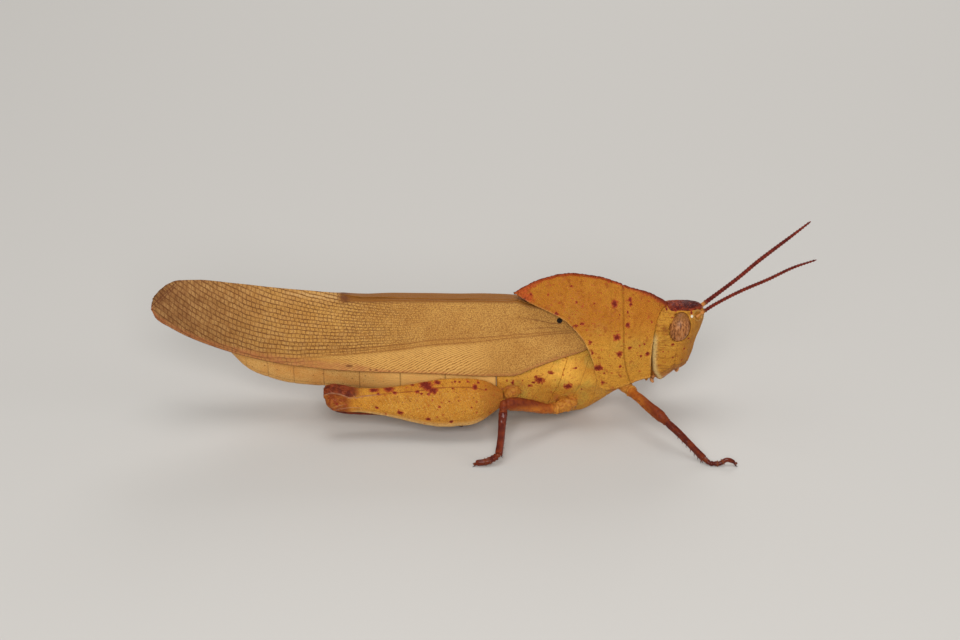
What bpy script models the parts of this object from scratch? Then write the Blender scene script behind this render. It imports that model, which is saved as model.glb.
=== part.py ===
"""A gumleaf grasshopper at rest, life size, its wings folded like a roof over the abdomen.

Axes: +X is the way it faces, +Y is its left and +Z is up. The floor is z = 0, and the origin lies
on it, midway between the tips of the antennae and the tips of the wings. Sizes are written in
millimetres, and a mesh is turned into metres as it is made.
"""

import math

import bmesh
import bpy
import numpy as np
from mathutils import Matrix, Vector

MM = 0.001

# Driving sizes.
WING_TIP_X = -32.9
ANTENNA_TIP = (32.8, 4.2, 19.0)
GAP = 0.3  # left between pieces that meet
PRONOTUM_WALL = 0.4
WING_WALL = 0.5

LEFT, RIGHT = 1, -1
SIDE_NAMES = {LEFT: "left", RIGHT: "right"}


# ---------------------------------------------------------------- shared ways of making shapes


def smooth(knots, x):
    """Height at x of a smooth curve through the knots that never swings past one of them."""
    at, value = np.array(knots, float).T
    step = np.diff(at)
    rise = np.diff(value) / step
    slope = np.concatenate([rise[:1], np.zeros(len(at) - 2), rise[-1:]])
    for i in range(1, len(at) - 1):
        if rise[i - 1] * rise[i] > 0:
            before, after = 2 * step[i] + step[i - 1], step[i] + 2 * step[i - 1]
            slope[i] = (before + after) / (before / rise[i - 1] + after / rise[i])
    x = np.clip(x, at[0], at[-1])
    i = np.clip(np.searchsorted(at, x, side="right") - 1, 0, len(at) - 2)
    t = (x - at[i]) / step[i]
    from_left = (1 + 2 * t) * (1 - t) ** 2 * value[i] + t * (1 - t) ** 2 * step[i] * slope[i]
    from_right = t * t * (3 - 2 * t) * value[i + 1] - t * t * (1 - t) * step[i] * slope[i + 1]
    return from_left + from_right


def finish(name, colour, roughness):
    """A plain cuticle material. Insects have no metal, so metallic stays 0."""
    material = bpy.data.materials.new(name)
    material.use_nodes = True
    shader = material.node_tree.nodes["Principled BSDF"]
    shader.inputs["Base Color"].default_value = (*colour, 1)
    shader.inputs["Roughness"].default_value = roughness
    shader.inputs["Metallic"].default_value = 0
    return material


def collection(name):
    made = bpy.data.collections.new(name)
    bpy.context.scene.collection.children.link(made)
    return made


def object_of(name, mesh, colour, roughness=0.5):
    """Puts a mesh or curve in the model under its node's name, with a finish of its own."""
    thing = bpy.data.objects.new(name, mesh)
    bpy.data.collections["grasshopper"].objects.link(thing)
    thing.data.materials.append(finish(name + "_finish", colour, roughness))
    return thing


def cutter_of(name, mesh):
    """A helper that only cuts others, kept out of the model."""
    thing = bpy.data.objects.new(name, mesh)
    bpy.data.collections["cutters"].objects.link(thing)
    thing.hide_render = True
    thing.display_type = "WIRE"
    return thing


def mesh_of(name, points, faces):
    """A mesh of these points, given in millimetres, with every face turned outwards."""
    mesh = bpy.data.meshes.new(name)
    mesh.from_pydata((np.asarray(points) * MM).tolist(), [], faces)
    shape = bmesh.new()
    shape.from_mesh(mesh)
    bmesh.ops.recalc_face_normals(shape, faces=shape.faces)
    shape.to_mesh(mesh)
    shape.free()
    mesh.shade_smooth()
    return mesh


def loft(name, rings):
    """A closed skin over a row of like rings, whose two ends are fans about their middles."""
    rings = np.asarray(rings, float)
    count, sides = rings.shape[:2]
    points = np.concatenate([rings.reshape(-1, 3), rings[[0, -1]].mean(axis=1)])
    faces = []
    for ring in range(count - 1):
        for side in range(sides):
            after = (side + 1) % sides
            start, end = ring * sides, (ring + 1) * sides
            faces.append((start + side, start + after, end + after, end + side))
    for start, hub in ((0, count * sides), ((count - 1) * sides, count * sides + 1)):
        faces += [(start + side, start + (side + 1) % sides, hub) for side in range(sides)]
    return mesh_of(name, points, faces)


def sheet(name, grid, outward):
    """An open sheet over a grid of points, which faces outward on the whole."""
    rows, columns = grid.shape[:2]
    faces = []
    for row in range(rows - 1):
        for column in range(columns - 1):
            a = row * columns + column
            faces.append((a, a + 1, a + columns + 1, a + columns))
    mesh = mesh_of(name, grid.reshape(-1, 3), faces)
    facing = sum((face.normal * face.area for face in mesh.polygons), Vector())
    if facing.dot(Vector(outward)) < 0:
        mesh.flip_normals()
    return mesh


def add_wall(thing, wall):
    """Gives a sheet its wall, on the inside."""
    solid = thing.modifiers.new("wall", "SOLIDIFY")
    solid.thickness = wall * MM
    solid.offset = -1
    solid.use_even_offset = True


def limb(name, path, across, deep, sides=8, floor=None):
    """A tapering limb along a path. across and deep are its half-widths, sideways and up.

    A ring stands square to the path at each point. Where floor is given, what would reach below
    it is pressed flat on it, which makes the soles.
    """
    path = np.array(path, float)
    ways = np.gradient(path, axis=0)
    ways /= np.linalg.norm(ways, axis=1)[:, None]
    flat = np.cross([0, 0, 1.0], ways)
    flat /= np.linalg.norm(flat, axis=1)[:, None]
    up = np.cross(ways, flat)
    turn = (np.arange(sides) + 0.5) * 2 * math.pi / sides
    across = np.broadcast_to(across, len(path))[:, None, None]
    deep = np.broadcast_to(deep, len(path))[:, None, None]
    rings = (
        path[:, None]
        + across * flat[:, None] * np.cos(turn)[None, :, None]
        + deep * up[:, None] * np.sin(turn)[None, :, None]
    )
    if floor is not None:
        rings[..., 2] = np.maximum(rings[..., 2], floor)
    return loft(name, rings)


def tube(name, path, radii):
    """A round tube along a path, as a curve with a bevel and filled caps."""
    curve = bpy.data.curves.new(name, "CURVE")
    curve.dimensions = "3D"
    curve.bevel_depth = 1.0
    curve.bevel_resolution = 2
    curve.use_fill_caps = True
    line = curve.splines.new("POLY")
    line.points.add(len(path) - 1)
    for point, place, radius in zip(line.points, path, radii):
        point.co = (*(np.array(place, float) * MM), 1)
        point.radius = radius * MM
    return curve


def ball(name, centre, radii, lean=0.0, roll=0.0, grow=0.0, rings=7, sides=10):
    """An ellipsoid, leant forward by lean and rolled about X. grow adds to each of its radii."""
    shape = bmesh.new()
    turned = Matrix.Rotation(roll, 4, "X") @ Matrix.Rotation(lean, 4, "Y")
    place = Matrix.Translation(Vector(centre) * MM) @ turned
    size = Matrix.Diagonal((*((radius + grow) * MM for radius in radii), 1))
    bmesh.ops.create_uvsphere(
        shape, u_segments=sides, v_segments=rings, radius=1, matrix=place @ size
    )
    mesh = bpy.data.meshes.new(name)
    shape.to_mesh(mesh)
    shape.free()
    mesh.shade_smooth()
    return mesh


def cut(thing, cutter):
    """Takes the cutter's room out of the piece."""
    boolean = thing.modifiers.new(cutter.name, "BOOLEAN")
    boolean.operation = "DIFFERENCE"
    boolean.solver = "EXACT"
    boolean.object = cutter


def sided(side, points):
    """The points of the left side, or their mirror image on the right."""
    return np.array(points, float) * (1, side, 1)


# ------------------------------------------------------------------------------- the pronotum

# The shield over the prothorax: a tall keel above, and a lobe down each side to the fore coxa.
CREST = ((3.2, 13.4), (5.8, 14.88), (8.8, 15.56), (11.7, 15.16), (14.8, 13.98), (16.8, 13.34), (18.6, 12.22))
# Rear edge and front edge, from the keel down, then the lower edge from rear to front: x, z.
PRONOTUM_REAR = (
    (0, 3.2, 13.4), (0.1, 4.3, 12.99), (0.25, 6.6, 12.2), (0.42, 8.75, 11.0),
    (0.56, 9.9, 9.7), (0.72, 10.75, 7.7), (0.88, 11.35, 5.9), (1, 11.95, 4.6),
)
PRONOTUM_FRONT = (
    (0, 18.6, 12.22), (0.12, 17.9, 12.0), (0.25, 17.3, 11.4), (0.45, 16.9, 9.8),
    (0.7, 16.75, 7.8), (1, 16.6, 5.9),
)
PRONOTUM_LOW = ((0, 11.95, 4.6), (0.14, 12.6, 4.2), (0.45, 14.1, 4.55), (0.75, 15.4, 5.15), (1, 16.6, 5.9))
PRONOTUM_HALF_WIDTH = ((3, 3.8), (9, 3.85), (12, 3.85), (14.5, 3.5), (16.7, 3.05), (18.6, 3.0))
PRONOTUM_SHOULDER_Z = 6.5  # where the shield is widest


def pronotum_y(x, z):
    """Half-width of the shield: a pointed arch behind, and a rounder one near the head."""
    crest = smooth(CREST, x)
    rise = np.clip(np.abs(z - PRONOTUM_SHOULDER_Z) / (crest - PRONOTUM_SHOULDER_Z), 0, 1)
    near_head = np.clip((x - 12) / 5, 0, 1)
    roundness = 2.2 + 1.8 * near_head**2 * (3 - 2 * near_head)
    return smooth(PRONOTUM_HALF_WIDTH, x) * (1 - rise**roundness) ** 1.15


def edge(knots, t):
    """A point x, z at t along an edge given as knots of t, x, z."""
    knots = np.array(knots)
    return np.stack([smooth(knots[:, [0, 1]], t), smooth(knots[:, [0, 2]], t)], axis=-1)


def pronotum_half(rows, columns):
    """x, y, z of one side, as a patch stretched between its four edges."""
    s = np.linspace(0, 1, columns)[None, :, None]
    t = (np.linspace(0, 1, rows) ** 1.15)[:, None, None]
    crest_x = PRONOTUM_REAR[0][1] + (PRONOTUM_FRONT[0][1] - PRONOTUM_REAR[0][1]) * s[0, :, 0]
    crest = np.stack([crest_x, smooth(CREST, crest_x)], axis=-1)[None]
    low = edge(PRONOTUM_LOW, s[0, :, 0])[None]
    rear, front = edge(PRONOTUM_REAR, t[:, 0, 0])[:, None], edge(PRONOTUM_FRONT, t[:, 0, 0])[:, None]
    corners = (1 - s) * ((1 - t) * rear[:1] + t * rear[-1:]) + s * ((1 - t) * front[:1] + t * front[-1:])
    xz = (1 - s) * rear + s * front + (1 - t) * crest + t * low - corners
    y = pronotum_y(xz[..., 0], xz[..., 1])
    y[0] = 0
    return np.stack([xz[..., 0], y, xz[..., 1]], axis=-1)


def make_pronotum():
    half = pronotum_half(rows=9, columns=14)
    both = np.concatenate([half[::-1], half[1:] * (1, -1, 1)])
    shield = object_of("pronotum", sheet("pronotum", both, (0, 0, 1)), (0.55, 0.24, 0.05))
    add_wall(shield, PRONOTUM_WALL)


# --------------------------------------------------------------------- the trunk and its slices

# Under the shield and the wings the body is one tapering form, parted at its joints. Each curve is
# given by x and its value: the belly's height, the back's height, the widest level, the half-width.
BELLY = (
    (-26.2, 8.2), (-25, 7.2), (-23.4, 5.3), (-21.5, 4.35), (-19, 3.65), (-16, 3.42), (-10, 2.95), (-5, 2.3),
    (0, 1.5), (3, 0.85), (5.5, 0.45), (8, 0.35), (9.9, 0.55), (11.9, 1.7), (13.7, 3.0), (16.6, 4.3),
)
BACK = (
    (-26.2, 9.3), (-24, 9.7), (-18, 9.5), (-10, 9.6), (-4, 10.0), (1, 10.6), (10, 10.8), (12.5, 11.6),
    (16.6, 10.4),
)
WIDEST = ((-26.2, 8.7), (-22, 6.8), (-16, 6.0), (-8, 5.6), (0, 4.9), (5, 4.6), (10, 4.7), (16.6, 6.8))
HALF_WIDTH = (
    (-26.2, 0.55), (-24.5, 1.15), (-22, 1.6), (-18, 2.05), (-14, 2.25), (-8, 2.5), (-2, 2.8), (2, 3.05),
    (7, 3.2), (10, 3.0), (12.5, 2.75), (14.5, 2.45), (16.6, 1.9),
)
TRUNK_SIDES = 18


def trunk_ring(x, lean=0.0, size=1.0):
    """An egg-shaped ring: broad and low at the sternum, narrowing to the back.

    lean slants the ring, so that its top lies ahead of its foot by lean for each millimetre up.
    """
    turn = (np.arange(TRUNK_SIDES) + 0.5) * 2 * math.pi / TRUNK_SIDES
    up, across = np.sin(turn), np.cos(turn)
    pivot = 6.0
    place = np.full(TRUNK_SIDES, float(x))
    for _ in range(4):
        belly, back = smooth(BELLY, place), smooth(BACK, place)
        widest, half = smooth(WIDEST, place), smooth(HALF_WIDTH, place)
        z = widest + up * np.where(up > 0, back - widest, widest - belly) * size
        place = x + lean * (z - pivot)
    y = half * size * np.sign(across) * np.abs(across) ** np.where(up > 0, 1.9, 0.75)
    return np.stack([place, y, z], axis=-1)


def trunk_slice(name, stations, colour):
    """A slice of the trunk from a row of (x, lean, size)."""
    return object_of(name, loft(name, [trunk_ring(*station) for station in stations]), colour)


PLEURA_LEAN = 0.36  # the slant of the sutures on the sides of the thorax
MESO_META_X = 8.0  # where the second and third slices of the thorax meet, at mid height
META_ABDOMEN_X = 1.6
PRO_MESO_X = 12.6
NECK_X = 15.6


def make_thorax():
    half = GAP / 2
    prothorax = trunk_slice(
        "prothorax",
        [(NECK_X, 0, 0.9), (NECK_X - 0.4, 0, 1), (14, 0, 1), (PRO_MESO_X + half, 0, 1)],
        (0.50, 0.23, 0.06),
    )
    mesothorax = trunk_slice(
        "mesothorax",
        [
            (PRO_MESO_X - half, 0, 1), (11.4, PLEURA_LEAN * 0.4, 1), (10.2, PLEURA_LEAN * 0.8, 1),
            (9.1, PLEURA_LEAN, 1), (MESO_META_X + half, PLEURA_LEAN, 1),
        ],
        (0.58, 0.28, 0.07),
    )
    metathorax = trunk_slice(
        "metathorax",
        [
            (MESO_META_X - half, PLEURA_LEAN, 1), (6.2, PLEURA_LEAN, 1), (4.6, PLEURA_LEAN * 0.8, 1),
            (3.1, PLEURA_LEAN * 0.4, 1), (META_ABDOMEN_X + half, 0, 1),
        ],
        (0.58, 0.28, 0.07),
    )
    return {"prothorax": prothorax, "mesothorax": mesothorax, "metathorax": metathorax}


# The joints between the abdomen's rings, from the thorax to the tail.
ABDOMEN_JOINTS = (META_ABDOMEN_X - GAP / 2, -3.6, -8.1, -12.2, -15.8, -18.8, -21.4, -23.6, -25.2)


def make_abdomen():
    """Eight rings of horny skin, each tucked a little under the one ahead of it."""
    stations = []
    for front, rear in zip(ABDOMEN_JOINTS[:-1], ABDOMEN_JOINTS[1:]):
        length = front - rear
        stations += [(front, 0, 0.93), (front - 0.1 * length, 0, 0.985), (rear + 0.12, 0, 1.0)]
    stations += [(ABDOMEN_JOINTS[-1], 0, 0.85), (-26.0, 0, 0.6)]
    trunk_slice("abdomen", stations, (0.56, 0.33, 0.12))
    for side in (LEFT, RIGHT):
        path = sided(side, [(-26.3, 0.6, 9.15), (-26.8, 0.66, 9.3), (-27.3, 0.68, 9.4)])
        object_of(
            "cercus_" + SIDE_NAMES[side],
            tube("cercus", path, (0.28, 0.27, 0.25)),
            (0.45, 0.2, 0.07),
        )
    path = [(-26.3, 0, 8.45), (-26.9, 0, 8.35), (-27.6, 0, 8.6)]
    valve = limb("ovipositor", path, (0.35, 0.3, 0.25), (0.38, 0.34, 0.25))
    object_of("ovipositor", valve, (0.3, 0.12, 0.05))


# ---------------------------------------------------------------------------------- the wings

# One fore wing, or tegmen, from the tip to the base. Its dorsal field lies flat over the back as
# far as the fold, and its lateral field hangs from there to the lower edge.
WING_FOLD_Y = (
    (-32.9, 0.75), (-31.5, 0.95), (-29, 1.1), (-25, 1.25), (-20, 1.2), (-15, 1.0), (-11, 0.95), (-7, 1.0),
    (2, 1.0), (4.3, 0.75), (6.5, 0.85), (10.6, 1.0),
)
WING_FOLD_Z = (
    (-32.9, 12.4), (-32, 13.0), (-31, 13.5), (-29, 13.8), (-25, 13.4), (-20, 13.0), (-15, 12.95), (-7, 12.95),
    (2, 12.85), (4.3, 12.2), (6.5, 12.1), (10.6, 11.4),
)
WING_LOW_Y = (
    (-32.9, 0.8), (-31.5, 1.0), (-29, 1.35), (-25, 2.0), (-20, 2.6), (-15, 3.0), (-10, 3.4), (-5, 3.7),
    (0, 3.85), (3.8, 3.7), (5.8, 3.45), (7.8, 3.15), (9.8, 2.8), (10.6, 2.6),
)
WING_LOW_Z = (
    (-32.9, 11.9), (-32.5, 11.0), (-31.1, 10.05), (-29, 9.0), (-26.1, 8.0), (-23, 7.25), (-19, 6.6),
    (-13, 6.2), (-5, 6.2), (0, 6.0), (3, 5.95), (5.2, 6.75), (7.8, 7.6), (10, 8.2), (10.6, 8.5),
)
WING_TOP_Z = (
    (-32.9, 12.5), (-32.6, 13.0), (-32, 13.7), (-31.1, 14.4), (-30, 14.82), (-28.2, 14.88), (-25, 14.55),
    (-20, 13.95), (-15, 13.5), (-11, 13.2), (-6, 12.95), (2, 12.85), (4.3, 12.1), (10.6, 11.6),
)
# How far a wing's inner edge lies from the middle line, on its own side. The left wing lies on top,
# so over the back it reaches past the middle and less of the right one shows.
WING_INNER_Y = {
    LEFT: ((-32.9, 0.65), (-13.5, 0.65), (-8, -0.15), (10.6, -0.15)),
    RIGHT: ((-32.9, 0.65), (-13.5, 0.65), (-8, 0.45), (10.6, 0.45)),
}
WING_BULGE = ((-33, 0.06), (-28, 0.3), (0, 0.3), (8, 0.12))
WING_STATIONS = 22


def wing_section(x, side):
    """Points across one fore wing at x, from its inner edge over the fold to its lower edge."""
    inner = np.array([smooth(WING_INNER_Y[side], x), smooth(WING_TOP_Z, x)])
    fold = np.array([smooth(WING_FOLD_Y, x), smooth(WING_FOLD_Z, x)])
    low = np.array([smooth(WING_LOW_Y, x), smooth(WING_LOW_Z, x)])
    corner = 0.3  # the share of each side taken up in rounding the fold
    before, after = fold + (inner - fold) * corner, fold + (low - fold) * corner * 0.5
    flat = [inner, inner + (before - inner) * 0.5]
    bend = [before * (1 - t) ** 2 + fold * 2 * t * (1 - t) + after * t * t for t in (0.0, 0.5, 1.0)]
    down = (low - fold) / np.linalg.norm(low - fold)
    out = np.array([-down[1], down[0]])
    bulge = out * smooth(WING_BULGE, x)
    hang = [after + (low - after) * t + bulge * 4 * t * (1 - t) for t in np.linspace(0, 1, 6)[1:]]
    return np.array(flat + bend + hang)


def make_forewings():
    spread = np.linspace(0, 1, WING_STATIONS)
    x = WING_TIP_X + (10.6 - WING_TIP_X) * (0.35 * spread + 0.65 * spread**1.8)
    for side in (LEFT, RIGHT):
        sections = np.array([wing_section(station, side) for station in x])
        along = np.broadcast_to(x[:, None, None], sections.shape[:2] + (1,))
        grid = np.concatenate([along, sections], axis=2)
        name = "forewing_" + SIDE_NAMES[side]
        wing = object_of(name, sheet(name, sided(side, grid), (0, side, 0)), (0.50, 0.27, 0.09))
        add_wall(wing, WING_WALL)


# One hind wing, folded like a fan into a leaf between the fore wings: x, foot, top, outer half-width.
HINDWING = (
    (-2.5, 10.35, 11.0, 1.0), (-4, 10.3, 11.15, 1.3), (-8, 10.0, 11.2, 1.4), (-12, 9.95, 11.4, 1.25),
    (-16, 9.9, 11.9, 1.1), (-20, 9.9, 12.0, 0.9), (-23.5, 10.0, 11.8, 0.8), (-25.5, 10.1, 11.2, 0.7),
)
MIDDLE_GAP = 0.15


def make_hindwings():
    for side in (LEFT, RIGHT):
        rings = []
        for x, foot, top, outer in HINDWING:
            ring = [
                (x, MIDDLE_GAP, foot), (x, outer * 0.8, foot), (x, outer, foot * 0.7 + top * 0.3),
                (x, outer * 0.85, foot * 0.3 + top * 0.7), (x, outer * 0.6, top), (x, MIDDLE_GAP, top),
            ]
            rings.append(sided(side, ring))
        name = "hindwing_" + SIDE_NAMES[side]
        object_of(name, loft(name, rings), (0.4, 0.3, 0.2))


# ----------------------------------------------------------------------------------- the head

# The head capsule from its foot to its crown: z, front, rear, half-width, where it is widest.
HEAD_LEVELS = (
    (4.7, 19.8, 17.75, 1.4, 18.6),
    (5.1, 20.25, 17.4, 1.85, 18.7),
    (5.9, 20.8, 17.2, 2.25, 18.8),
    (7.2, 21.2, 17.1, 2.5, 18.9),
    (8.6, 21.55, 17.1, 2.45, 19.0),
    (9.7, 21.9, 17.15, 2.2, 19.2),
    (10.6, 22.1, 17.2, 2.0, 19.5),
    (11.3, 22.15, 17.5, 1.7, 19.7),
    (11.75, 22.0, 18.6, 1.35, 20.0),
    (12.05, 21.8, 18.95, 1.05, 20.3),
    (12.25, 21.4, 19.25, 0.7, 20.3),
    (12.35, 20.9, 19.6, 0.35, 20.2),
)
JAW_LEVELS = (
    (4.4, 19.0, 17.75, 1.1, 18.5),
    (4.15, 19.0, 17.8, 1.15, 18.5),
    (3.85, 18.9, 17.95, 1.0, 18.5),
    (3.6, 18.75, 18.15, 0.7, 18.5),
)
PALP_PATH = ((17.25, 1.5, 4.75), (16.95, 1.75, 4.5), (17.1, 1.85, 4.15), (17.5, 1.8, 3.85))
LABRUM_PATH = ((19.7, 0, 4.35), (19.6, 0, 4.05), (19.4, 0, 3.8))
HEAD_SIDES = 20
EYE_CENTRE, EYE_RADII = (19.7, 1.65, 10.4), (1.08, 0.85, 1.5)
EYE_LEAN, EYE_ROLL = math.radians(15), math.radians(20)  # the top leans forward and inward
SOCKET_CENTRE, SOCKET_RADIUS = (21.7, 1.05, 11.45), 0.62


def head_ring(z, front, rear, half, widest):
    """A level of the head: elliptical at the face and squarer behind."""
    turn = (np.arange(HEAD_SIDES) + 0.5) * 2 * math.pi / HEAD_SIDES
    along, across = np.cos(turn), np.sin(turn)
    power = np.where(along > 0, 1.0, 0.62)
    reach = np.where(along > 0, front - widest, widest - rear)
    x = widest + reach * np.sign(along) * np.abs(along) ** power
    y = half * np.sign(across) * np.abs(across) ** power
    return np.stack([x, y, np.full(HEAD_SIDES, z)], axis=-1)


def make_head():
    head = object_of("head", loft("head", [head_ring(*level) for level in HEAD_LEVELS]), (0.56, 0.3, 0.06))
    neck_path = [(NECK_X + GAP, 0, 7.5), (16.8, 0, 7.5)]
    object_of("neck", limb("neck", neck_path, 1.6, 2.4, sides=14), (0.45, 0.22, 0.08))
    for side in (LEFT, RIGHT):
        centre = sided(side, EYE_CENTRE)
        name = "eye_" + SIDE_NAMES[side]
        turned = (EYE_LEAN, side * EYE_ROLL)
        eye = ball(name, centre, EYE_RADII, *turned, rings=10, sides=14)
        object_of(name, eye, (0.25, 0.14, 0.08), 0.3)
        room = ball(name, centre, EYE_RADII, *turned, grow=GAP, rings=9, sides=14)
        cut(head, cutter_of("room_" + name, room))
        socket = ball("socket", sided(side, SOCKET_CENTRE), (SOCKET_RADIUS,) * 3, rings=6, sides=10)
        cut(head, cutter_of("room_antenna_" + SIDE_NAMES[side], socket))
    object_of("jaws", loft("jaws", [head_ring(*level) for level in JAW_LEVELS]), (0.45, 0.2, 0.06))
    object_of("labrum", limb("labrum", LABRUM_PATH, (1.15, 1.15, 0.8), 0.25), (0.5, 0.24, 0.07))
    for side in (LEFT, RIGHT):
        name = "palp_" + SIDE_NAMES[side]
        path = sided(side, PALP_PATH)
        object_of(name, tube(name, path, (0.27, 0.25, 0.25, 0.25)), (0.35, 0.1, 0.04))


# The feelers spread a little, and the right one is raised more at its root than the left.
ANTENNA_PATHS = {
    LEFT: (
        (21.7, 1.05, 11.45), (22.0, 1.12, 11.75), (22.5, 1.15, 12.15), (23.9, 1.3, 13.0), (26, 1.85, 14.45),
        (28, 2.5, 15.8), (30.3, 3.3, 17.3), ANTENNA_TIP,
    ),
    RIGHT: (
        (21.7, 1.05, 11.45), (22.0, 1.12, 11.8), (22.4, 1.15, 12.2), (23.6, 1.3, 13.2), (25, 1.65, 14.15),
        (28.3, 2.7, 16.2), (30.3, 3.4, 17.55), (32.3, 4.2, 19.0),
    ),
}
ANTENNA_RADII = (0.3, 0.36, 0.27, 0.28, 0.28, 0.27, 0.26, 0.25)


def make_antennae():
    for side in (LEFT, RIGHT):
        name = "antenna_" + SIDE_NAMES[side]
        object_of(name, tube(name, sided(side, ANTENNA_PATHS[side]), ANTENNA_RADII), (0.18, 0.03, 0.015), 0.4)


# ----------------------------------------------------------------------------------- the legs

# Each leg is hip, thigh, shin and foot. Places are the left side's, as x, y, z, and a shape named
# for one side belongs to it alone: the right fore leg is stretched ahead, the left stands out.
HIPS = {
    "fore": ((14.0, 2.4, 3.8), (0.8, 0.7, 0.8)),
    "mid": ((8.4, 3.0, 2.35), (0.75, 0.65, 0.75)),
    "hind": ((3.0, 3.5, 3.6), (0.8, 0.75, 0.95)),
}
THIGHS = {
    "fore_right": ((14.45, 3.5, 4), (15.4, 4.7, 4.1), (16.6, 6, 3.75), (17.6, 7, 3.35), (18.05, 7.4, 3.15)),
    "fore_left": ((14.35, 3.5, 3.95), (15, 5, 4.45), (15.6, 6.5, 5.05), (16.1, 7.6, 5.5), (16.25, 8, 5.6)),
    "mid": ((7.7, 3.75, 2.6), (6.6, 4.5, 2.95), (4.8, 5.55, 3.65), (3.1, 6.6, 4.35), (2.35, 7.0, 4.6)),
}
THIGH_RADII = (0.42, 0.58, 0.57, 0.47, 0.4)
SHINS = {
    "fore_right": ((18.3, 7.62, 2.95), (19.6, 8.6, 2.1), (21.0, 9.8, 1.1), (21.95, 10.6, 0.42)),
    "fore_left": ((16.42, 8.3, 5.2), (16.8, 8.95, 3.6), (17.2, 9.6, 1.9), (17.5, 10.05, 0.55)),
    "mid": ((2.12, 7.55, 4.0), (2.05, 8.05, 3.4), (1.9, 9.4, 2.0), (1.68, 10.5, 0.85)),
}
SHIN_RADII = (0.33, 0.28, 0.26, 0.28)
HIND_SHIN = (
    (-15.25, 5.05, 3.95), (-14.6, 4.9, 3.1), (-13, 4.7, 2.6), (-10, 4.6, 2.4), (-6, 4.55, 1.7),
    (-2.4, 4.4, 1.35),
)
HIND_SHIN_RADII = (0.42, 0.42, 0.4, 0.38, 0.34, 0.34)
# Most of a foot lies flat on its sole. Its middle line is then half its thickness above the floor.
FLAT = 0.27
FEET = {
    "fore_right": (
        (22.1, 10.85, 0.4), (22.6, 11.15, FLAT), (23.4, 11.2, FLAT), (24.2, 11.1, FLAT), (25, 11.15, FLAT),
    ),
    "fore_left": (
        (17.75, 10.15, 0.4), (18.2, 10.45, FLAT), (18.9, 10.75, FLAT), (19.6, 11, FLAT), (20.3, 11.2, FLAT),
    ),
    "mid": ((1.5, 10.9, 0.5), (1.1, 11.05, 0.3), (0.5, 11.15, FLAT), (-0.2, 11.25, FLAT), (-0.95, 11.2, FLAT)),
    "hind": ((-2.3, 3.95, 0.7), (-2.05, 3.45, 0.3), (-1.5, 2.95, FLAT), (-0.8, 2.4, FLAT), (-0.1, 1.9, FLAT)),
}
FOOT_HALF_WIDTH = (0.27, 0.32, 0.28, 0.3, 0.26)
SHIN_COLOUR, THIGH_COLOUR = (0.17, 0.035, 0.015), (0.42, 0.14, 0.03)


def own_shape(table, leg, side):
    """The shape of this leg on this side, where the two differ, or else the one that both share."""
    return sided(side, table.get(f"{leg}_{SIDE_NAMES[side]}", table.get(leg)))


def make_feet_and_shins():
    for side in (LEFT, RIGHT):
        for leg in ("fore", "mid", "hind"):
            ending = f"_{leg}_{SIDE_NAMES[side]}"
            if leg == "hind":
                shin = tube("tibia" + ending, sided(side, HIND_SHIN), HIND_SHIN_RADII)
            else:
                shin = tube("tibia" + ending, own_shape(SHINS, leg, side), SHIN_RADII)
            object_of("tibia" + ending, shin, SHIN_COLOUR, 0.35)
            path = own_shape(FEET, leg, side)
            foot = limb("tarsus" + ending, path, FOOT_HALF_WIDTH, FOOT_HALF_WIDTH, floor=0)
            object_of("tarsus" + ending, foot, SHIN_COLOUR, 0.4)


def make_hips_and_thighs(thorax):
    carriers = {"fore": "prothorax", "mid": "mesothorax", "hind": "metathorax"}
    for side in (LEFT, RIGHT):
        for leg, carrier in carriers.items():
            centre, radii = HIPS[leg]
            name = f"coxa_{leg}_{SIDE_NAMES[side]}"
            place = sided(side, centre)
            object_of(name, ball(name, place, radii), (0.42, 0.15, 0.04))
            cut(thorax[carrier], cutter_of("room_" + name, ball(name, place, radii, grow=GAP)))
        for leg in ("fore", "mid"):
            name = f"femur_{leg}_{SIDE_NAMES[side]}"
            deep = np.array(THIGH_RADII) * 1.1
            thigh = limb(name, own_shape(THIGHS, leg, side), THIGH_RADII, deep)
            object_of(name, thigh, THIGH_COLOUR, 0.4)


# The jumping thigh: x, height of its middle, its depth and its thickness. It leans out at its foot.
HIND_THIGH_MIDDLE_Z = (
    (-15.7, 4.75), (-15.1, 4.45), (-13, 4.12), (-9, 3.82), (-6, 3.68), (-2, 3.82), (1.2, 4.02), (2.2, 3.97),
)
HIND_THIGH_DEPTH = (
    (-15.7, 1.1), (-15.4, 2.0), (-14.6, 2.7), (-13.5, 2.6), (-12, 2.45), (-10, 2.75), (-8, 3.4), (-6, 4.2),
    (-3.6, 4.85), (-1.6, 4.75), (0, 4.1), (1.2, 2.7), (1.8, 1.9), (2.2, 1.1),
)
HIND_THIGH_THICKNESS = (
    (-15.7, 0.9), (-15, 1.5), (-12, 1.35), (-8, 1.7), (-4, 2.2), (-1, 2.1), (1, 1.5), (2.2, 0.9),
)
HIND_THIGH_Y = ((-15.7, 5.1), (-1, 5.1), (2.2, 4.55))
HIND_THIGH_LEAN = math.radians(19)
# One section, as shares of half the thickness outwards and half the depth upwards: a flat outer
# face between two keels, and a rounder inner face that stops short below to leave room for the shin.
HIND_THIGH_SECTION = (
    (0.0, 1.0), (0.55, 0.78), (0.95, 0.55), (1.0, 0.0), (0.95, -0.5), (0.7, -0.8), (0.4, -1.0),
    (-0.1, -0.86), (-0.55, -0.6), (-0.95, -0.35), (-1.0, 0.1), (-0.85, 0.55), (-0.45, 0.85),
)


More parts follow.
